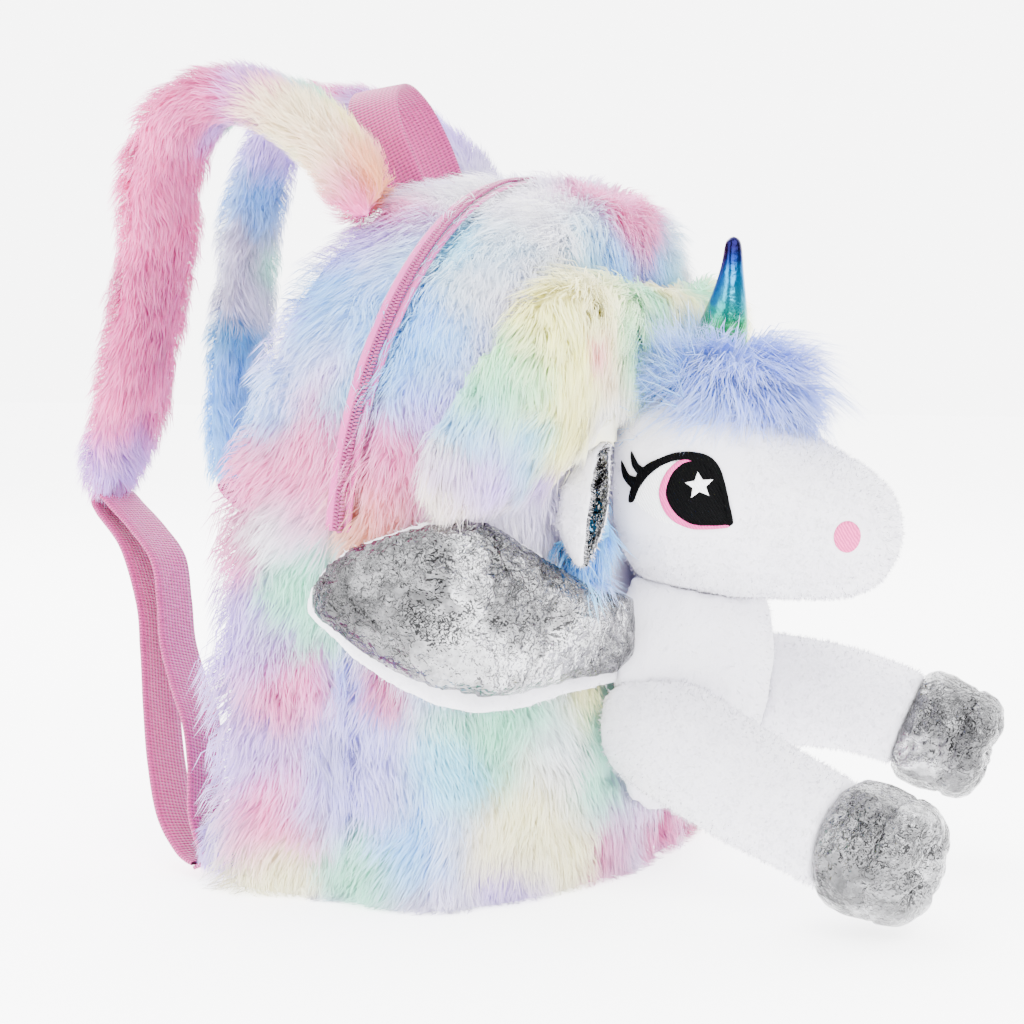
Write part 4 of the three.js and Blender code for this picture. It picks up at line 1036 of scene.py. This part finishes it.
def stitched(name, outlines, low, lift, mat, side=-1, spline=True, step=0.7):
    """flat outlines laid on the cheek with a raised thread edge"""
    allv, allf = [], []
    for outline in outlines:
        pts = np.array(outline, float)
        if spline:
            q = np.vstack([pts, pts[:1]])
            n = max(24, int(np.sum(np.linalg.norm(np.diff(q, axis=0), axis=1)) / step))
            m = len(pts)
            f = np.linspace(0, m, n, endpoint=False)
            i = f.astype(int)
            u = (f - i)[:, None]
            p0, p1, p2, p3 = (pts[(i + k) % m] for k in (-1, 0, 1, 2))
            pts = 0.5 * (2 * p1 + (p2 - p0) * u + (2 * p0 - 5 * p1 + 4 * p2 - p3) * u ** 2 + (3 * p1 - p0 - 3 * p2 + p3) * u ** 3)
        lo, hi = pts.min(0), pts.max(0)
        gx, gy = np.meshgrid(np.arange(lo[0], hi[0], 0.75), np.arange(lo[1], hi[1], 0.75))
        cell = np.c_[gx.ravel(), gy.ravel()]
        nxt = np.roll(pts, -1, 0)
        cross = ((pts[None, :, 1] > cell[:, None, 1]) != (nxt[None, :, 1] > cell[:, None, 1]))
        dy = np.where(nxt[:, 1] == pts[:, 1], 1e-9, nxt[:, 1] - pts[:, 1])
        xs = pts[None, :, 0] + (cell[:, None, 1] - pts[None, :, 1]) / dy[None] * (nxt - pts)[None, :, 0]
        inside = (cross & (cell[:, None, 0] < xs)).sum(1) % 2 == 1
        far = np.linalg.norm(cell[:, None] - pts[None], axis=2).min(1) > 0.35
        cell = cell[inside & far]
        m_rim = len(pts)
        flat = [Vector(p) for p in pts] + [Vector(p) for p in cell]
        if sum(pts[:, 0] * nxt[:, 1] - nxt[:, 0] * pts[:, 1]) < 0:
            loop_ids = list(range(m_rim))[::-1]
        else:
            loop_ids = list(range(m_rim))
        co, _, tri, orig, _, _ = delaunay_2d_cdt(flat, [], [loop_ids], 1, 1e-5)
        base_i = len(allv)
        for q, src in zip(co, orig):
            y, z = q.x, q.y
            hit = HEAD_TREE.ray_cast(Vector((side * 120, y, z)), Vector((-side, 0, 0)))
            if hit[0] is None:
                hit = HEAD_TREE.find_nearest(Vector((side * 50, y, z)))
            p, nrm = np.array(hit[0]), np.array(hit[1])
            up = low if min(src, default=0) < m_rim else lift
            allv.append(p + nrm * up)
        for fc in tri:
            allf.append([base_i + k for k in fc])
    o = mesh_from(name, np.array(allv), np.array(allf), mat)
    me = o.data
    nn = np.empty(len(me.polygons) * 3, np.float32)
    me.polygons.foreach_get("normal", nn)
    if np.mean(nn.reshape(-1, 3)[:, 0]) * side < 0:
        me.flip_normals()
    return o


for s, k in (("left", -1), ("right", 1)):
    done(stitched("eye_sclera_" + s, [[(-99.5, 163), (-103, 168.5), (-107.5, 173.5), (-113, 177.6), (-119, 179.8), (-126, 180), (-131, 178), (-135, 173), (-137.8, 165), (-139.6, 153.6), (-131, 151.4), (-122, 151.5), (-112, 154), (-104, 158.4)]], 0.1, 0.25, THREAD["white"], k), "thread_white")
    done(stitched("eye_pupil_" + s, [EYE["pupil"]], 0.5, 0.8, THREAD["black"], k), "thread_black", "eye_" + s)
    done(stitched("eye_ring_thread_" + s, [EYE["ring"]], 0.8, 1.15, THREAD["pink"], k), "thread_pink", "eye_ring_" + s)
    done(stitched("eyelid_thread_" + s, [EYE["lid"], EYE["lash_a"], EYE["lash_b"]], 0.9, 1.4, THREAD["black"], k), "thread_black", "eyelid_" + s)
    done(stitched("eye_star_thread_" + s, [star], 1.05, 1.5, THREAD["white"], k, spline=False), "thread_white", "eye_star_" + s)
    done(stitched("nostril_thread_" + s, [nost], 0.15, 0.9, THREAD["nostril"], k), "thread_nostril", "nostril_" + s)

# ------------------------------------------------------------------ stage, light, camera
m, nt, b = material("floor_white")
b.inputs["Base Color"].default_value = (0.92, 0.92, 0.92, 1)
b.inputs["Emission Color"].default_value = (1, 1, 1, 1)
b.inputs["Emission Strength"].default_value = 3.3
b.inputs["Roughness"].default_value = 0.9
b.inputs["Specular IOR Level"].default_value = 0.1
fl = bpy.data.meshes.new("floor")
fl.from_pydata([(-6, -6, 0), (6, -6, 0), (6, 6, 0), (-6, 6, 0)], [], [(0, 1, 2, 3)])
fl.materials.append(m)
floor = bpy.data.objects.new("floor", fl)
bpy.context.scene.collection.objects.link(floor)

world = bpy.data.worlds.new("soft")
bpy.context.scene.world = world
world.use_nodes = True
bg = world.node_tree.nodes["Background"]
wn = world.node_tree
wc = wn.nodes.new("ShaderNodeTexCoord")
dot = wn.nodes.new("ShaderNodeVectorMath")
dot.operation = "DOT_PRODUCT"
dot.inputs[1].default_value = (0.80, 0.39, 0.45)
fall = wn.nodes.new("ShaderNodeValToRGB")
cr = fall.color_ramp
cr.elements[0].position, cr.elements[0].color = 0.0, (0.16, 0.16, 0.162, 1)
cr.elements[1].position, cr.elements[1].color = 1.0, (1, 1, 1, 1)
for q, g in ((0.5, 0.13), (0.78, 1.0)):
    e = cr.elements.new(q)
    e.color = (g, g, g * 1.01, 1)
half = wn.nodes.new("ShaderNodeMath")
half.operation = "MULTIPLY_ADD"
half.inputs[1].default_value = 0.5
half.inputs[2].default_value = 0.5
wn.links.new(wc.outputs["Generated"], dot.inputs[0])
wn.links.new(dot.outputs["Value"], half.inputs[0])
wn.links.new(half.outputs["Value"], fall.inputs["Fac"])
wn.links.new(fall.outputs["Color"], bg.inputs["Color"])
bg.inputs["Strength"].default_value = 7.0


def area(name, loc, target, size_m, watts):
    l = bpy.data.lights.new(name, "AREA")
    l.shape = "RECTANGLE"
    l.size, l.size_y = size_m
    l.energy = watts
    o = bpy.data.objects.new(name, l)
    o.location = loc
    d = Vector(target) - Vector(loc)
    o.rotation_euler = d.to_track_quat("-Z", "Y").to_euler()
    bpy.context.scene.collection.objects.link(o)
    return o


area("key", (-1.2, -1.3, 1.6), (0, 0, 0.15), (1.7, 1.7), 105)
area("side", (-1.6, 0.9, 0.9), (0, 0, 0.15), (1.3, 1.6), 55)
area("rim", (0.9, 0.8, 1.5), (0, 0, 0.2), (1.2, 1.2), 40)

az, el, dist = math.radians(-64), math.radians(4.5), 0.95
right = Vector((math.cos(az), math.sin(az), 0))
back_v = Vector((math.sin(az) * math.cos(el), -math.cos(az) * math.cos(el), math.sin(el)))
target = right * 0.017 + Vector((0, 0, 0.150))
cam_data = bpy.data.cameras.new("camera")
cam_data.sensor_width = 36
cam_data.lens = 36 * 2.2 * 950 / 1024
cam_data.clip_start = 0.01
cam = bpy.data.objects.new("camera", cam_data)
cam.location = target + back_v * dist
cam.rotation_euler = (-back_v).to_track_quat("-Z", "Y").to_euler()
bpy.context.scene.collection.objects.link(cam)
bpy.context.scene.camera = cam
